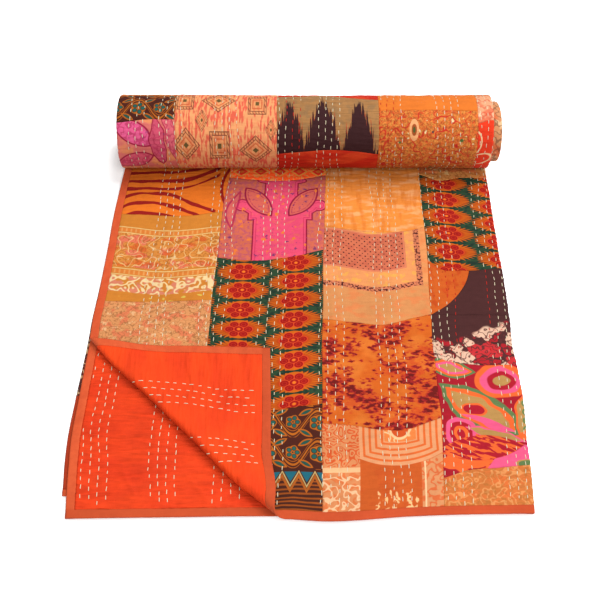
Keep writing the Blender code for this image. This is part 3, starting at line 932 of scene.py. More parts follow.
vase.paint((150, 22, 60), vase_shape(0.0))
vase.paint((234, 78, 120), vase_shape(0.0022))
vase.paint((198, 46, 92), vase_shape(0.0050))
vase.paint((234, 78, 120), vase_shape(0.0060))
vase.paint((232, 104, 96), vase.clouds(0.013, 0.013, 17.0, 0.09, 0.05, 4.0) * vase_shape(0.0060) * 0.6)
sprig = leaf_shape(mirror, vase.v, (0.0350, 0.5160), (0.0350, 0.0150), 53)
vase.paint((150, 26, 66), between(sprig, 0.90, 1.10, 0.03))
vase.paint((214, 100, 92), below(sprig, 0.92, 0.03))
vase.paint((168, 40, 84), between(sprig, 0.66, 0.76, 0.03) * vase.clouds(0.0020, 0.0020, 3.0, -0.02, 0.03))
vase.paint((158, 60, 112), vase.clouds(0.0045, 0.0045, 6.0, 0.15, 0.03, 3.0) * 0.8)
spot, spot_number = vase.scatter(0.0120, 0.0120, 4.0)
ragged_spot = spot + vase.noise(0.003, 0.003, 8.0) * 0.8
vase.paint((112, 52, 110), below(ragged_spot, 0.20, 0.05) * below(spot_number, 0.50, 0.01) * 0.85)
vase.paint((236, 124, 58), below(ragged_spot, 0.24, 0.05) * above(spot_number, 0.60, 0.01))
bent_u = vase.u + waves(vase.v, 0.10, 0.004, 0.47)
side_leaf = leaf_shape(bent_u, vase.v, (-0.1130, 0.500), (0.0380, 0.0085), 84)
vase.paint((176, 34, 84), between(side_leaf, 0.70, 1.10, 0.06) * 0.85)
vase.paint((216, 96, 104), below(side_leaf, 0.70, 0.08) * 0.6)
vase_finish = vase.done()

# Flowers on green: staggered cells, each with a toothed orange flower and seven red florets
garden = Print("green_flowers", (44, 72, 52))
garden.paint((28, 48, 44), garden.clouds(0.010, 0.006, 2.0, 0.03, 0.05, 3.0) * 0.8)
CELL = (0.0765, 0.0341)
stagger = (((garden.u + 0.0915) / CELL[0]) + 0.5).by("FLOOR")
wavy = garden.v + garden.noise(0.06, 0.06, 3.0, 1.0) * 0.006
flower_u = every(garden.u, CELL[0], -0.0915)
tilt = waves(stagger, 6.0, 0.12)
flower_v = every(wavy + stagger * (CELL[1] / 2) - flower_u * tilt, CELL[1], 0.3806)
PETAL = (0.0385, 0.0168)
out = oval(flower_u, flower_v, (0, 0), PETAL)
pointed = out + abs(flower_u * flower_v) * (0.22 / (PETAL[0] * PETAL[1]))
turn = (flower_v / PETAL[1]).by("ARCTAN2", flower_u / PETAL[0])
RAYS = 30
teeth = (turn * (RAYS / (2 * math.pi))).by("PINGPONG", 0.5)
garden.paint((24, 42, 36), below(pointed, 1.10, 0.06) * 0.6)
beside = above(abs(flower_u), 0.0150, 0.0110)
garden.paint((206, 100, 19), below(pointed + (teeth * 1.10 - 0.25) * beside, 0.95, 0.02))
garden.paint((176, 58, 16), above(teeth, 0.28, 0.08) * between(pointed, 0.30, 0.98, 0.05) * beside * 0.75)
garden.paint((186, 56, 18), below(out + teeth * 0.3, 0.66, 0.06) * 0.85)
FLORET = (0.0072, 0.0055)
FLORET_RING = (0.0130, 0.0092)
sixths = [math.radians(k) for k in range(0, 360, 60)]
ring = [(FLORET_RING[0] * math.cos(a), FLORET_RING[1] * math.sin(a)) for a in sixths]
for centre in ring + [(0.0, 0.0)]:
    floret = oval(flower_u, flower_v, centre, FLORET)
    garden.paint((222, 74, 36), below(floret, 1.0, 0.06))
    garden.paint((160, 20, 18), below(floret, 0.84, 0.06))
    garden.paint((196, 48, 30), between(floret, 0.36, 0.50, 0.05) * 0.8)
garden.paint((238, 120, 36), below(oval(flower_u, flower_v, (0, 0), (0.0024, 0.0020)), 1.0, 0.1))
garden_finish = garden.done()

# The dark brown cotton: ochre vine with teal flowers, a toothed band, then stripes
vine = Print("brown_vine", (78, 32, 24))
stem_v = every(vine.v, 0.0435, 0.0925)
stem = abs(stem_v - waves(vine.u, 0.066, 0.0168, 0.0010) - vine.noise(0.03, 0.03, 2.0) * 0.004)
vine.paint((186, 100, 28), below(stem, 0.0015, 0.0005))
vine.paint((170, 88, 28), between(stem, 0.0040, 0.0052, 0.0004))
for u_start, place_v, far_out in ((0.0175, -0.0005, 0.0124), (-0.0155, 0.0005, 0.0104)):
    bloom_u, bloom_v = every(vine.u, 0.066, u_start), stem_v - place_v
    bloom = (bloom_u * bloom_u + bloom_v * bloom_v).by("SQRT")
    lobe = every(bloom_v.by("ARCTAN2", bloom_u), 2 * math.pi / 5)
    edge = (bloom + abs(lobe) * 0.0030) / far_out
    vine.paint((78, 36, 30), below(edge, 1.10, 0.05))
    vine.paint((188, 102, 30), below(edge, 1.0, 0.05))
    petal = oval(bloom * lobe.by("COSINE"), bloom * lobe.by("SINE"), (far_out * 0.55, 0),
                 (far_out * 0.27, far_out * 0.24))
    vine.paint((70, 50, 38), below(petal, 1.25, 0.1))
    vine.paint((36, 98, 96), below(petal, 0.88, 0.1))
    vine.paint((70, 50, 38), below(bloom / far_out, 0.12, 0.05))
leaf = leaf_shape(every(vine.u, 0.033, 0.001), abs(stem_v), (0, 0.0150), (0.0110, 0.0040), 28)
vine.paint((184, 98, 30), between(leaf, 0.55, 1.0, 0.06))
vine.paint((38, 84, 78), below(leaf, 0.5, 0.06))
low_band = below(vine.v, 0.0700, 0.0004) * above(vine.v, -0.002, 0.0004)
vine.paint((74, 34, 26), low_band)
tooth = abs(every(vine.u, 0.0205, -0.028)) / 0.01025
up = (vine.v - 0.0470) / 0.0200
stripes = vine.v + vine.noise(0.05, 0.02, 5.0) * 0.006
lines = below(abs(every(stripes, 0.0054)), 0.0011, 0.0005) * between(vine.v, 0.0, 0.0560, 0.0005)
vine.paint((158, 78, 28), lines * below(up, 0.75 - tooth, 0.05))
vine.paint((176, 92, 32), between(up + tooth, 0.55, 0.86, 0.03) * low_band)
vine.paint((32, 104, 128), above(up, 1.18 - tooth * 0.9, 0.03) * between(vine.v, 0.048, 0.0665, 0.0004))
pale_line = below(abs(up - 1.0 + tooth), 0.08, 0.03)
vine.paint((196, 164, 112), pale_line * between(vine.v, 0.045, 0.068, 0.0004))
vine_finish = vine.done()

seam_2 = seam([(0.0209, 0.005), (0.0218, 0.076), (0.0231, 0.175), (0.0245, 0.283), (0.0271, 0.409),
               (0.0298, 0.4665), (0.0334, 0.573), (0.034, 0.614)])
seam_2ab = cross_seam([(-0.130, 0.568), (-0.1226, 0.5677), (-0.065, 0.5606), (-0.0127, 0.562),
                       (0.0334, 0.5727), (0.042, 0.574)])
seam_2bc = cross_seam([(-0.138, 0.4085), (-0.128, 0.407), (-0.091, 0.402), (-0.061, 0.402),
                       (-0.012, 0.410), (0.028, 0.421), (0.038, 0.4225)])
seam_2cd = cross_seam([(-0.150, 0.140), (-0.090, 0.145), (-0.040, 0.149), (-0.012, 0.1545),
                       (0.023, 0.157), (0.034, 0.158)])
patch("patch_diamonds", (seam_1, seam_2), (seam_2ab, ROLL_Y), gem_finish)
patch("patch_rose_vase", (seam_1, seam_2), (seam_2bc, seam_2ab), vase_finish)
patch("patch_green_flowers", (seam_1, seam_2), (seam_2cd, seam_2bc), garden_finish)
patch("patch_brown_vine", (seam_1, seam_2), (INSET, seam_2cd), vine_finish, shift=(0.0, 0.004))
patch("patch_corner", (INSET, seam_1), (INSET, CORNER_FAR), garden_finish)


# The third column of patches
# Amber with pale streaks, the corner of a dotted scarf, an orange cotton with dark red
# splashes, and a bordered peach and orange print at the near hem.
streaks = Print("amber_streaks", (242, 144, 64))
streaks.paint((250, 176, 122), streaks.clouds(0.030, 0.010, 3.0, 0.05, 0.08, 4.0) * 0.85)
streaks.paint((218, 118, 42), streaks.clouds(0.008, 0.050, 7.0, 0.06, 0.08, 3.0) * 0.55)
streaks_finish = streaks.done()

scarf = Print("dotted_scarf", (230, 150, 96))
bend = scarf.v - waves(scarf.u, 0.150, 0.0062, -0.0075)
frame_out = either((scarf.u - 0.166), (bend - 0.475), (bend - 0.3545) * -1.0)
frame_in = either((scarf.u - 0.148), (bend - 0.458), (bend - 0.386) * -1.0)
scarf.paint((216, 144, 92), above(frame_out, 0.005, 0.0005) * below(bend, 0.356, 0.001))
scarf.paint((232, 124, 74), scarf.clouds(0.020, 0.014, 23.0, 0.05, 0.08, 3.0) * 0.5)
scarf.paint((234, 152, 98), below(frame_out, -0.004, 0.0005))
gold = scarf.clouds(0.011, 0.009, 3.0, 0.07, 0.03)
scarf.paint((238, 170, 84), gold * below(frame_out, -0.004, 0.001) * 0.8)
edge_line = below(abs(frame_out), 0.0042, 0.0008)
scarf.paint((214, 124, 92), edge_line)
scarf.paint((84, 34, 34), scarf.clouds(0.0032, 0.0032, 5.0, 0.03, 0.05) * edge_line)
scarf.paint((212, 114, 86), below(frame_in, 0.0, 0.0005))
worn_red = scarf.clouds(0.014, 0.010, 13.0, 0.03, 0.08)
scarf.paint((196, 92, 74), worn_red * below(frame_in, 0.0, 0.0005) * 0.6)
scarf.paint((226, 134, 104), between(frame_in, -0.0022, -0.0008, 0.0005))
dot = oval(every(scarf.u, 0.0080), every(bend, 0.0094), (0, 0), (0.0012, 0.0012))
half_dot = oval(every(scarf.u, 0.0080, 0.0040), every(bend, 0.0094, 0.0047), (0, 0), (0.0009, 0.0009))
dots = either(below(dot, 1.0, 0.2), below(half_dot, 1.0, 0.2))
scarf.paint((74, 34, 40), dots * below(frame_in, -0.0030, 0.0005))
scarf_finish = scarf.done()

splash = Print("orange_splashes", (210, 98, 31))
splash.paint((226, 124, 50), splash.clouds(0.040, 0.030, 9.0, 0.02, 0.10) * 0.7)
cluster = splash.noise(0.060, 0.050, 5.0, 1.0)
fleck = splash.scatter(0.0120, 0.0075, 4.0)[0] + splash.noise(0.0060, 0.0032, 6.0, 3.0) * 1.5 - cluster * 1.6
splash.paint((206, 72, 34), above(cluster + splash.noise(0.0110, 0.0070, 8.0, 3.0) * 0.55, 0.04, 0.08) * 0.75)
splash.paint((184, 48, 34), below(fleck, 0.46, 0.08) * 0.85)
splash.paint((150, 30, 38), below(fleck, 0.34, 0.05) * 0.9)
splash.paint((112, 26, 24), below(fleck + splash.noise(0.015, 0.010, 3.0) * 0.8, 0.20, 0.04))
splash_finish = splash.done()

border = Print("peach_border", (204, 92, 38))
border.paint((202, 84, 36), border.clouds(0.030, 0.018, 2.0, 0.05, 0.06) * 0.6)
left_strip = below(border.u, 0.0705, 0.0004)
border.paint((220, 140, 94), left_strip)
maze = abs(every(border.noise(0.0105, 0.0105, 3.0, 0.5) * 6.0, 1.0))
border.paint((214, 90, 46), below(maze, 0.19, 0.05) * left_strip * above(border.v, 0.072, 0.0005))
border.paint((248, 186, 142), left_strip * between(border.v, 0.0640, 0.0705, 0.0004))
for colour, lines, share in (((222, 120, 70), (0.022, 5.0, 0.16, 8.0), 1.0),
                             ((250, 206, 170), (0.014, 4.0, 0.12, 4.0), 0.8)):
    border.paint(colour, border.swirls(*lines) * left_strip * below(border.v, 0.0635, 0.0005) * share)
bowed = border.v - (border.u - 0.118) * (border.u - 0.118) * 5.0
arch = either((border.u - 0.1745), (border.u - 0.0735) * -1.0, (bowed - 0.0745) * -1.0)
inside = above(border.u, 0.0705, 0.0004) * above(bowed, 0.0710, 0.0004)
border.paint((230, 158, 116), inside)
rings = below(abs(every(arch, 0.0080, -0.0030)), 0.0015, 0.0005) * above(arch, -0.0300, 0.0005)
border.paint((226, 106, 50), rings * inside)
heart = below(arch, -0.0300, 0.0006) * inside
border.paint((234, 130, 70), heart)
border.paint((250, 196, 150), border.swirls(0.017, 4.0, 0.17, 5.0) * heart)
disc = oval(border.u, bowed, (0.124, 0.124), (0.012, 0.014))
border.paint((206, 82, 36), below(disc, 1.0, 0.05) * inside)
border.paint((250, 198, 152), between(disc, 0.95, 1.2, 0.05) * inside)
right_strip = above(border.u, 0.1490, 0.0004) * below(bowed, 0.0705, 0.0004)
border.paint((220, 148, 104), right_strip)
border.paint((220, 108, 62), border.swirls(0.0125, 4.0, 0.16, 6.0) * right_strip)
border.paint((244, 204, 166), right_strip * below(abs(border.u - 0.1535), 0.0010, 0.0004))
low_floral = above(border.noise(0.008, 0.020, 12.0) - (border.v - 0.018) * 7.0, 0.02, 0.03)
low_floral = low_floral * border.swirls(0.007, 3.0, 0.30, 9.0)
low_strip = between(border.u, 0.0900, 0.149, 0.0005) * below(bowed, 0.070, 0.001)
border.paint((248, 194, 142), low_floral * low_strip)
border_finish = border.done()

seam_3 = seam([(0.1721, 0.012), (0.1763, 0.076), (0.1795, 0.125), (0.1779, 0.175), (0.1776, 0.228),
               (0.1782, 0.295), (0.1788, 0.353), (0.181, 0.409), (0.1802, 0.4865), (0.1804, 0.576),
               (0.181, 0.614)])
seam_3ab = cross_seam([(0.020, 0.468), (0.032, 0.4665), (0.068, 0.460), (0.148, 0.457),
                       (0.184, 0.4666), (0.192, 0.469)])
seam_3bc = cross_seam([(0.015, 0.300), (0.0246, 0.2976), (0.082, 0.289), (0.110, 0.286),
                       (0.143, 0.295), (0.1765, 0.3034), (0.186, 0.305)])
seam_3cd = cross_seam([(0.014, 0.130), (0.0225, 0.1294), (0.058, 0.127), (0.102, 0.1196),
                       (0.128, 0.1196), (0.177, 0.137), (0.186, 0.140)])
patch("patch_amber_streaks", (seam_2, seam_3), (seam_3ab, ROLL_Y), streaks_finish)
patch("patch_dotted_scarf", (seam_2, seam_3), (seam_3bc, seam_3ab), scarf_finish)
patch("patch_orange_splashes", (seam_2, seam_3), (seam_3cd, seam_3bc), splash_finish)
patch("patch_peach_border", (seam_2, seam_3), (INSET, seam_3cd), border_finish, shift=(0.0, 0.002),
      pitch=FINE_PITCH)


# The fourth column of patches, which goes round the outer fold
# Curling tan, the green flowers again, a plain orange wedge let into dark brown with pale
# blossoms, large bright flowers, and an ochre print worn pale at the near hem.
tan_finish = small_floral("tan_curls", (226, 150, 84), (232, 122, 70), (244, 200, 140), (170, 92, 44), 0.012)

wedge = Print("plain_orange", (206, 94, 34))
wedge.paint((196, 70, 26), wedge.clouds(0.010, 0.016, 2.0, 0.07, 0.06, 3.0) * 0.7)
wedge.paint((140, 36, 24), wedge.clouds(0.006, 0.009, 7.0, 0.20, 0.03, 3.0) * 0.8)
wedge_finish = wedge.done()

blossom = Print("brown_blossoms", (76, 40, 42))
spray = below(blossom.v + blossom.noise(0.035, 0.035, 8.0) * 0.06 - (blossom.u - 0.235) * 0.25, 0.274, 0.003)
petals, petal_number = blossom.scatter(0.0270, 0.0220, 3.0)
petals = petals + blossom.noise(0.012, 0.012, 2.0, 2.0) * 0.6
blossom.paint((176, 32, 44), blossom.clouds(0.030, 0.024, 9.0, 0.02, 0.01, 1.0) * spray)
blossom.paint((84, 42, 44), below(petals, 0.66, 0.02) * spray)
blossom.paint((230, 188, 170), below(petals, 0.60, 0.02) * spray * above(petal_number, 0.26, 0.01))
blossom.paint((200, 48, 56), below(petals, 0.60, 0.02) * spray * below(petal_number, 0.26, 0.01))
blossom.paint((206, 78, 80), below(petals, 0.17, 0.04) * spray)
flecks = blossom.clouds(0.007, 0.005, 12.0, 0.14, 0.03)
blossom.paint((206, 66, 70), flecks * below(petals, 0.55, 0.02) * spray * 0.8)
blossom.paint((92, 44, 46), blossom.swirls(0.013, 5.0, 0.11, 4.0) * spray * 0.9)
blossom_finish = blossom.done()

bright = Print("bright_flowers", (168, 26, 44))
flow_u = bright.u + bright.noise(0.032, 0.032, 2.0, 1.0) * 0.018
flow_v = bright.v + bright.noise(0.032, 0.032, 7.0, 1.0) * 0.016
bright.paint((238, 104, 50), bright.clouds(0.030, 0.016, 4.0, 0.05, 0.02) * below(bright.v, 0.115, 0.003))
GREEN = (98, 124, 80)
ORANGE = (238, 104, 50)
PINK = (236, 90, 142)
CRIMSON = (176, 26, 46)
TAN = (184, 140, 84)
RING_STEP = 0.23
for shape_of, middle, half, angle, colours in (
        (leaf_shape, (0.196, 0.2160), (0.036, 0.0150), -14, (GREEN, ORANGE, PINK, TAN)),
        (leaf_shape, (0.230, 0.1490), (0.066, 0.0265), -36, (GREEN, ORANGE, TAN)),
        (oval, (0.223, 0.1500), (0.0165, 0.0095), -15, (ORANGE, CRIMSON)),
        (leaf_shape, (0.242, 0.1290), (0.038, 0.0050), -24, (PINK,)),
        (oval, (0.262, 0.1940), (0.035, 0.0280), 6, (ORANGE, PINK, CRIMSON, TAN)),
        (leaf_shape, (0.289, 0.1460), (0.038, 0.0145), 80, (ORANGE, TAN)),
        (oval, (0.203, 0.1150), (0.022, 0.0230), 0, (PINK, CRIMSON, ORANGE, CRIMSON)),
        (leaf_shape, (0.250, 0.1130), (0.042, 0.0070), -18, (PINK, TAN)),
        (leaf_shape, (0.205, 0.0720), (0.036, 0.0110), 0, (ORANGE,)),
        (leaf_shape, (0.276, 0.0750), (0.046, 0.0200), 16, (PINK,)),
        (oval, (0.286, 0.0690), (0.013, 0.0080), -20, (TAN, GREEN))):
    shape = shape_of(flow_u, flow_v, middle, half, angle)
    for ring, colour in enumerate(colours):
        bright.paint(colour, below(shape, 1.0 - ring * RING_STEP, 0.03))
streaky = bright.noise(0.020, 0.0055, 9.0, 2.0, v=bright.v + bright.u * 0.4)
flames = below(leaf_shape(bright.u, bright.v, (0.228, 0.0925), (0.056, 0.0180), 4), 1.0, 0.05)
bright.paint(CRIMSON, flames)
bright.paint(ORANGE, above(streaky, 0.02, 0.02) * flames)
bead = oval(every(bright.u - 0.289, 0.1), every(bright.v, 0.013, 0.146), (0, 0), (0.0042, 0.0050))
in_leaf = below(leaf_shape(flow_u, flow_v, (0.289, 0.146), (0.030, 0.0110), 80), 0.9, 0.05)
bright.paint(GREEN, between(bead, 0.45, 1.0, 0.08) * in_leaf)
bright_finish = bright.done()

ochre = Print("worn_ochre", (204, 116, 60))
ochre.paint((222, 112, 58), ochre.clouds(0.030, 0.020, 2.0, 0.02, 0.08) * 0.8)
ochre.paint((236, 164, 106), ochre.swirls(0.014, 4.5, 0.14, 5.0) * 0.6)
ochre.paint((166, 106, 50), ochre.swirls(0.010, 4.0, 0.10, 9.0) * 0.5)
ochre_finish = ochre.done()

OUTER = BOTTOM_START
seam_4ab = cross_seam([(0.170, 0.575), (0.180, 0.574), (0.2065, 0.561), (0.2435, 0.566),
                       (0.285, 0.566), (0.300, 0.566)])
seam_4bc = cross_seam([(0.170, 0.410), (0.182, 0.4025), (0.193, 0.390), (0.231, 0.383),
                       (0.283, 0.387), (0.300, 0.388)])
seam_4de = cross_seam([(0.165, 0.238), (0.1735, 0.2345), (0.198, 0.225), (0.234, 0.220),
                       (0.284, 0.220), (0.300, 0.220)])
seam_4ef = cross_seam([(0.165, 0.048), (0.174, 0.0505), (0.209, 0.062), (0.243, 0.0645),
                       (0.282, 0.069), (0.300, 0.070)])
seam_wedge = seam([(0.1779, 0.303), (0.196, 0.315), (0.213, 0.331), (0.229, 0.353),
                   (0.240, 0.3835), (0.2412, 0.392)])
wedge_tip = float(seam_wedge["along"][0]) + 0.0002
patch("patch_tan_curls", (seam_3, OUTER), (seam_4ab, ROLL_Y), tan_finish)
patch("patch_green_flowers_2", (seam_3, OUTER), (seam_4bc, seam_4ab), garden_finish, shift=(-0.0020, -0.0040))
patch("patch_orange_wedge", (seam_3, seam_wedge), (wedge_tip, seam_4bc), wedge_finish)
patch("patch_brown_upper", (seam_wedge, OUTER), (wedge_tip, seam_4bc), blossom_finish)
patch("patch_brown_blossoms", (seam_3, OUTER), (seam_4de, wedge_tip), blossom_finish)
patch("patch_bright_flowers", (seam_3, OUTER), (seam_4ef, seam_4de), bright_finish, pitch=FINE_PITCH)
patch("patch_worn_ochre", (seam_3, OUTER), (INSET, seam_4ef), ochre_finish)


# The patches round the outside of the roll
# The quilt's bottom layer comes out on top once it is rolled. In front: the brown vine over a
# salmon leaf print, a pricked peach cotton, dark spikes woven on khaki between red strips, and
# a branching floral under plain orange. Behind, more of the same cottons.
salmon = Print("salmon_leaves", (238, 146, 104))
salmon.paint((222, 108, 118), salmon.clouds(0.04, 0.03, 3.0, -0.03, 0.05) * 0.8)
for middle, half, tilt, inside_colour in (((-0.262, 0.002), (0.036, 0.0160), -28, (238, 96, 156)),
                                          ((-0.224, -0.012), (0.040, 0.0125), 96, (214, 84, 118)),
                                          ((-0.203, -0.004), (0.054, 0.0075), 104, (226, 104, 124)),
                                          ((-0.262, -0.044), (0.032, 0.0150), 20, (224, 90, 120))):
    leaf = leaf_shape(salmon.u + salmon.noise(0.03, 0.03, 5.0, 1.0) * 0.012, salmon.v, middle, half, tilt)
    salmon.paint((166, 28, 72), between(leaf, 0.90, 1.06, 0.04))
    salmon.paint(inside_colour, below(leaf, 0.90, 0.04))
    salmon.paint((176, 40, 84), below(leaf, 0.86, 0.04) * salmon.swirls(0.010, 3.0, 0.14, 7.0) * 0.6)
salmon.paint((140, 60, 120), below(salmon.scatter(0.010, 0.010, 4.0)[0], 0.14, 0.05) * 0.6)
salmon_finish = salmon.done()

prick = Print("pricked_peach", (244, 166, 116))
dashes = prick.noise(0.0036, 0.018, 3.0, 2.0) + prick.noise(0.04, 0.04, 5.0) * 0.2
prick.paint((228, 84, 72), above(dashes, 0.015, 0.05) * 0.85)
for middle, half_u, half_v, kind in (((-0.1278, -0.0175), 0.0150, 0.0210, "square"),
                                     ((-0.1800, -0.0160), 0.0210, 0.0250, "diamond"),
                                     ((-0.0716, -0.0240), 0.0250, 0.0220, "diamond"),
                                     ((-0.1298, 0.0560), 0.0260, 0.0230, "diamond"),
                                     ((-0.0693, 0.0489), 0.0140, 0.0190, "square"),
                                     ((-0.1830, 0.0560), 0.0140, 0.0180, "square"),
                                     ((-0.1549, 0.0202), 0.0100, 0.0165, "diamond"),
                                     ((-0.0476, 0.0063), 0.0090, 0.0150, "diamond")):
    du, dv = abs(prick.u - middle[0]) / half_u, abs(prick.v - middle[1]) / half_v
    shape = du.by("MAXIMUM", dv) if kind == "square" else du + dv
    prick.paint((232, 156, 104), below(shape, 1.0, 0.03) * 0.55)
    walk = abs(every(prick.u + prick.v * 0.35, 0.0046))
    rungs = below(walk, 0.0006, 0.0003) * between(shape, 0.76, 1.0, 0.02)
    lines = either(below(abs(shape - 1.0), 0.040, 0.02), below(abs(shape - 0.76), 0.035, 0.02), rungs)
    prick.paint((104, 50, 44), lines * 0.85)
    prick.paint((204, 92, 56), between(shape, 0.44, 0.56, 0.03) * 0.8)
    prick.paint((108, 86, 50), below(shape, 0.20, 0.03))
prick_finish = prick.done()

spike = Print("khaki_spikes", (178, 128, 82))
spike.paint((134, 96, 62), spike.clouds(0.030, 0.0016, 3.0, 0.05, 0.08) * 0.6)
spike.paint((150, 116, 84), spike.clouds(0.012, 0.012, 13.0, 0.04, 0.08, 4.0) * 0.6)
jag = spike.noise(0.0022, 0.05, 6.0, 3.0) * 0.10
for apex, top in ((-0.0202, 0.056), (0.0322, 0.061), (0.0899, 0.053)):
    reach = (abs(spike.u - apex) / 0.031).by("POWER", 1.2) * 0.090 + spike.v + jag
    tint = spike.clouds(0.002, 0.02, 9.0, 0.02, 0.03) * below(spike.v, 0.035, 0.01)
    spike.paint((200, 56, 30), below(reach, top + 0.004, 0.003) * tint)
    spike.paint((62, 32, 36), below(reach, top, 0.0012))
spike.paint((62, 32, 36), below(spike.v + jag * 0.4, -0.0260, 0.0012))
spike_finish = spike.done()

strip = Print("red_strip", (204, 44, 24))
strip.paint((232, 80, 40), strip.clouds(0.05, 0.02, 2.0, 0.03, 0.10) * 0.7)
strip_finish = strip.done()

band = Print("orange_band", (230, 122, 46))
speck = band.scatter(0.050, 0.034, 3.0, 0.7)[0] + band.noise(0.006, 0.006, 2.0) * 0.3
band.paint((110, 66, 36), below(speck, 0.13, 0.03))
band_finish = band.done()

branch = Print("branching_floral", (222, 110, 52))
branch.paint((230, 150, 72), branch.clouds(0.006, 0.006, 4.0, 0.02, 0.06, 4.0) * 0.75)
branch.paint((134, 70, 36), branch.swirls(0.0050, 3.0, 0.12, 2.0) * 0.6)
branch.paint((206, 50, 36), branch.clouds(0.007, 0.007, 19.0, 0.13, 0.03, 3.0) * 0.85)
branch.paint((200, 42, 34), branch.swirls(0.026, 2.6, 0.035, 9.0) * 0.9)
branch.paint((244, 218, 170), branch.clouds(0.0085, 0.0085, 15.0, 0.17, 0.03, 3.0))
berry, berry_number = branch.scatter(0.022, 0.020, 5.0)
branch.paint((84, 112, 58), below(berry, 0.13, 0.03) * above(berry_number, 0.45, 0.01))
branch.paint((60, 60, 70), below(berry, 0.09, 0.03) * below(berry_number, 0.25, 0.01))
urn = oval(branch.u, branch.v, (0.1750, 0.0065), (0.0075, 0.0160))
branch.paint((248, 176, 124), below(urn, 1.0, 0.05))
branch.paint((176, 88, 44), below(urn, 0.55, 0.05))
branch.paint((88, 96, 50), below(urn, 0.28, 0.05))
branch_finish = branch.done()

cream_finish = small_floral("cream_floral", (236, 168, 134), (228, 122, 92), (244, 204, 176),
                            (210, 80, 56), 0.014)

flame = Print("red_and_cream", (236, 62, 34))
for middle, half, tilt, line, soft in (((0.268, -0.014), (0.0125, 0.0185), -12, 0.075, 0.03),
                                       ((0.279, -0.042), (0.020, 0.010), 24, 0.10, 0.04)):
    curl = oval(flame.u, flame.v, middle, half, tilt)
    flame.paint((250, 206, 164), below(abs(curl - 1.0), line, soft))
flame_finish = flame.done()

# Its four long seams, at places across the roll that the photograph shows
edge_r1, edge_r2, edge_r3, edge_r4 = [float(on_roll([(x, 226)])[0][0])
                                      for x in (-0.195, -0.0416, 0.112, 0.261)]


def round_roll(points):
    """A seam that goes across the roll, from x and degrees round it."""
    return seam(points, on_roll, by="run")


def at_degrees(degrees):
    """How far along the quilt a place round the roll is."""
    return float(on_roll([(0.0, degrees)])[1][0])


FRONT_END = at_degrees(FIRST_TURN)
BACK_START = at_degrees(4)
SEAM_BEHIND = at_degrees(128)
SIDE_SEAM_BEHIND = at_degrees(150)
vine_end = round_roll([(-0.300, 212), (-0.284, 211.5), (-0.240, 206), (-0.190, 206)])
spike_top = round_roll([(-0.060, 151), (-0.0416, 152), (0.000, 148), (0.036, 146), (0.070, 158),
                        (0.112, 164), (0.130, 165)])
spike_base = round_roll([(-0.060, 262), (-0.0416, 261), (0.000, 257), (0.036, 254), (0.080, 257),
                         (0.112, 262), (0.130, 264)])
band_end = round_roll([(0.090, 191), (0.112, 190), (0.180, 189), (0.261, 191), (0.290, 191)])
cream_end = round_roll([(0.240, 212), (0.261, 212), (0.275, 208), (0.300, 206)])
patch("roll_vine", (edge_r1, THIRD_START), (SIDE_SEAM_BEHIND, vine_end), vine_finish, shift=(0.008, 0.052))
patch("roll_salmon_leaves", (edge_r1, THIRD_START), (vine_end, FRONT_END), salmon_finish)
patch("roll_pricked_peach", (edge_r2, edge_r1), (SEAM_BEHIND, FRONT_END), prick_finish)
patch("roll_red_strip", (edge_r3, edge_r2), (SEAM_BEHIND, spike_top), strip_finish)
patch("roll_khaki_spikes", (edge_r3, edge_r2), (spike_top, spike_base), spike_finish, pitch=FINE_PITCH)
patch("roll_red_band", (edge_r3, edge_r2), (spike_base, FRONT_END), strip_finish)
patch("roll_orange_band", (edge_r4, edge_r3), (SEAM_BEHIND, band_end), band_finish)
patch("roll_branching_floral", (edge_r4, edge_r3), (band_end, FRONT_END), branch_finish)
patch("roll_cream_floral", (TOP_END, edge_r4), (SIDE_SEAM_BEHIND, cream_end), cream_finish)
patch("roll_red_and_cream", (TOP_END, edge_r4), (cream_end, FRONT_END), flame_finish)
patch("roll_back_ochre", (edge_r1, THIRD_START), (BACK_START, SIDE_SEAM_BEHIND), ochre_finish,
      pitch=BACK_PITCH)
patch("roll_back_flowers", (edge_r2, edge_r1), (BACK_START, SEAM_BEHIND), garden_finish, pitch=BACK_PITCH)
patch("roll_back_streaks", (edge_r3, edge_r2), (BACK_START, SEAM_BEHIND), streaks_finish, pitch=BACK_PITCH)
patch("roll_back_splashes", (edge_r4, edge_r3), (BACK_START, SEAM_BEHIND), splash_finish, pitch=BACK_PITCH)
patch("roll_back_floral", (TOP_END, edge_r4), (BACK_START, SIDE_SEAM_BEHIND), peach_finish, pitch=BACK_PITCH)


# The binding
# A bias strip of orange cotton folded over the raw edges of all the layers and stitched down.
# It is a little thicker than the quilt, and its far stretch goes into the roll.
tape = Print("orange_binding", (222, 94, 56))
tape.paint((210, 84, 50), tape.clouds(0.012, 0.012, 4.0, 0.02, 0.12, 3.0) * 0.6)
# Painted shade: the binding is darker along the near hem, which faces away from the light
tape.paint((200, 80, 46), below(tape.v, 0.012, 0.002) * 0.8)
tape_finish = tape.done(ripple=0.5)
BINDING_WIDE = 0.0115
BINDING_HALF = 0.00085
BINDING_STEP = 0.0015
WOUND_TAPE_HALF = 0.00056
WOUND_TAPE_STEP = 0.006


def binding(name, runs, alongs):
    """One stretch of binding, rounded over its two long edges."""
    run, along = np.meshgrid(runs, alongs)
    wide, long = np.ptp(run), np.ptp(along)
    short = min(wide, long)
    inward = (run - run.min() if wide < long else along - along.min()) / short
    half = BINDING_HALF * (1 - 0.35 * np.abs(2 * inward - 1) ** 6) + 0.00010 * swell(run, along, 0.016, 3.0)
    cloth_piece(name, run, along, half, -half, tape_finish, "binding")


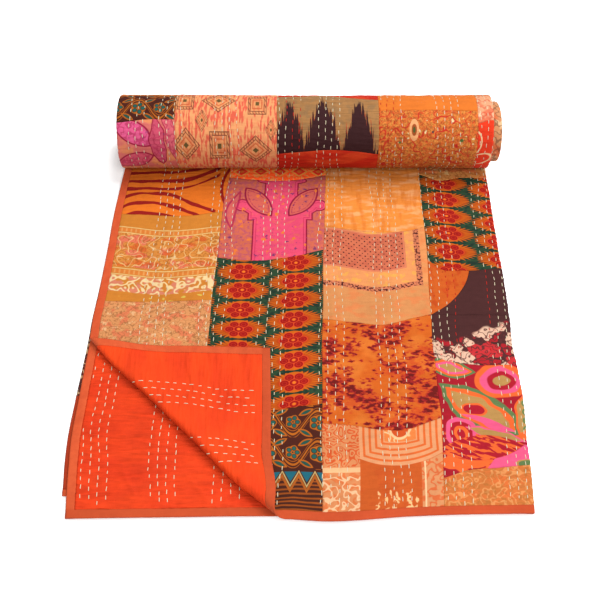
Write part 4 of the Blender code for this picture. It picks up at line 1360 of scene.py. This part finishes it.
hem_runs = np.unique(np.concatenate([
    steps(0, TOP_END, 0.004), steps(TOP_END, BOTTOM_START, 0.001), steps(BOTTOM_START, BOTTOM_END, 0.006),
    steps(BOTTOM_END, THIRD_START, FOLD_PITCH), steps(THIRD_START, THIRD_END, 0.008),
    steps(THIRD_END, SECOND_START, FOLD_PITCH), steps(SECOND_START, WIDTH, 0.003)]))
side_alongs = np.concatenate([steps(0.0, 0.30, 0.003), steps(0.305, ROLL_Y - 0.018, 0.005)])
binding("binding_left", steps(0.0, BINDING_WIDE, BINDING_STEP), side_alongs)
binding("binding_second", steps(WIDTH - BINDING_WIDE, WIDTH, BINDING_STEP), side_alongs)
binding("binding_near", hem_runs, steps(0.0, BINDING_WIDE, BINDING_STEP))
for name, start, end in (("binding_wound_top", 0.0002, BINDING_WIDE),
                         ("binding_wound_second", WIDTH - BINDING_WIDE, WIDTH - 0.0002)):
    run, along = np.meshgrid(steps(start, end, WOUND_TAPE_STEP), wound_places(0, TURN_DEGREES))
    cloth_piece(name, run, along, WOUND_TAPE_HALF, -WOUND_TAPE_HALF, tape_finish, "binding")


# The running stitch
# Thick cotton thread in rows of four, mostly white and here and there red, made by hand: the
# stitches differ in length and lie a little askew. Each is a short raised thread.
thread = Print("white_thread", (240, 228, 205))
thread_finish = thread.done(ripple=0.0)
red_thread = Print("red_thread", (206, 44, 36))
red_finish = red_thread.done(ripple=0.0)
STITCH_LONG = 0.0066
STITCH_HALF = 0.00055
STITCH_HIGH = 0.00060
LENGTHS = (0.72, 1.12)
UNEVEN = {"along": 0.0007, "across": 0.0003, "askew": 0.05}
rng = np.random.default_rng(11)


def stitches(name, groups, layer, alongs, face, finish, red=None, keep=None):
    """Running stitch on one face of a layer: face is 1 for the patchwork, -1 for the lining.
    Each stitch is a four-sided thread of four rings, its ends pushed down into the cloth."""
    start, way_in = {"top": (0.0, 1), "bottom": (BOTTOM_END, -1), "second": (WIDTH, -1)}[layer]
    count = int((alongs[1] - alongs[0]) / STITCH_PITCH)
    inward, number = np.meshgrid(rows_in(groups), np.arange(count))
    inward, number = inward.ravel(), number.ravel()
    row_phase = (np.sin(inward * 977) * 0.5 + 0.5) * STITCH_PITCH
    middle = alongs[0] + number * STITCH_PITCH + row_phase + rng.normal(0, UNEVEN["along"], inward.size)
    middle = middle + (STITCH_PITCH / 2 if face < 0 else 0.0)
    inward = inward + stray(inward, middle) + rng.normal(0, UNEVEN["across"], inward.size)
    long = STITCH_LONG * rng.uniform(*LENGTHS, inward.size)
    askew = rng.normal(0, UNEVEN["askew"], inward.size)
    inside = (inward > 0.014) & (inward < TOP_END + 0.003)
    inside &= (middle > alongs[0]) & (middle < alongs[1] - 0.003)
    inside &= keep(inward, middle) if keep else True
    picked = red(inward, middle) if red else np.zeros(inward.size, bool)
    inside &= picked if name.endswith("red") else ~picked
    inward, middle, long, askew = (v[inside][:, None, None] for v in (inward, middle, long, askew))
    way = np.array((-0.5, -0.30, 0.30, 0.5))[None, :, None]
    girth = np.array((0.55, 1.0, 1.0, 0.55))[None, :, None]
    depth = np.array((-0.30, 1.0, 1.0, -0.30))[None, :, None]
    side = np.array((-1.0, -0.55, 0.55, 1.0))[None, None, :]
    lift = np.array((0.0, 1.0, 1.0, 0.0))[None, None, :]
    at = middle + way * long + side * 0
    off = inward + askew * way * long + side * girth * STITCH_HALF * way_in * face
    run = start + way_in * off
    relief = quilting(np.maximum(run, THIRD_START) if layer == "second" else run, at)
    height = CLOTH / 2 + relief + STITCH_HIGH * (lift * depth * 0.9 + depth * 0.15 - 0.05)
    points = on_cloth(run, at, face * height).reshape(-1, 3)
    first = np.arange(len(inward))[:, None, None] * 16
    ring, spot = np.meshgrid(np.arange(3), np.arange(4), indexing="ij")
    a, b = ring * 4 + spot, ring * 4 + (spot + 1) % 4
    tube = np.stack([a, b, b + 4, a + 4], -1).reshape(1, 12, 4) + first
    caps = np.array([[3, 2, 1, 0], [12, 13, 14, 15]])[None] + first
    quads = np.concatenate([tube.reshape(-1, 4), caps.reshape(-1, 4)])
    new_mesh(name, points, quads, finish, np.stack([run, at], -1).reshape(-1, 2), "quilt_body")


def red_on_brown(inward, along):
    """The right-hand rows over the dark brown patch are sewn in red, but for the outermost."""
    return (inward > 0.500) & (inward < 0.565) & (along > 0.235) & (along < 0.385)


def red_on_spikes(inward, along):
    """Some rows over the dark spikes on the roll are red."""
    dark = (along > at_degrees(165)) & (along < at_degrees(258))
    return dark & (((inward > 0.262) & (inward < 0.285)) | ((inward > 0.405) & (inward < 0.432)))


def on_flap(inward, along):
    """The rows on the lining show only where the corner is turned back."""
    return inward + along < 0.258


TOP_SPAN = (0.014, 0.600)
ROLL_SPAN = (at_degrees(30), at_degrees(338))
FLAP_SPAN = (0.014, 0.258)
SECOND_SPAN = (0.014, 0.262)
stitches("stitches_top", TOP_ROWS, "top", TOP_SPAN, 1, thread_finish, red_on_brown)
stitches("stitches_top_red", TOP_ROWS, "top", TOP_SPAN, 1, red_finish, red_on_brown)
stitches("stitches_roll", ROLL_ROWS, "bottom", ROLL_SPAN, 1, thread_finish, red_on_spikes)
stitches("stitches_roll_red", ROLL_ROWS, "bottom", ROLL_SPAN, 1, red_finish, red_on_spikes)
stitches("stitches_flap", TOP_ROWS[:3], "top", FLAP_SPAN, -1, thread_finish, keep=on_flap)
stitches("stitches_second", SECOND_ROWS[:4], "second", SECOND_SPAN, -1, thread_finish)
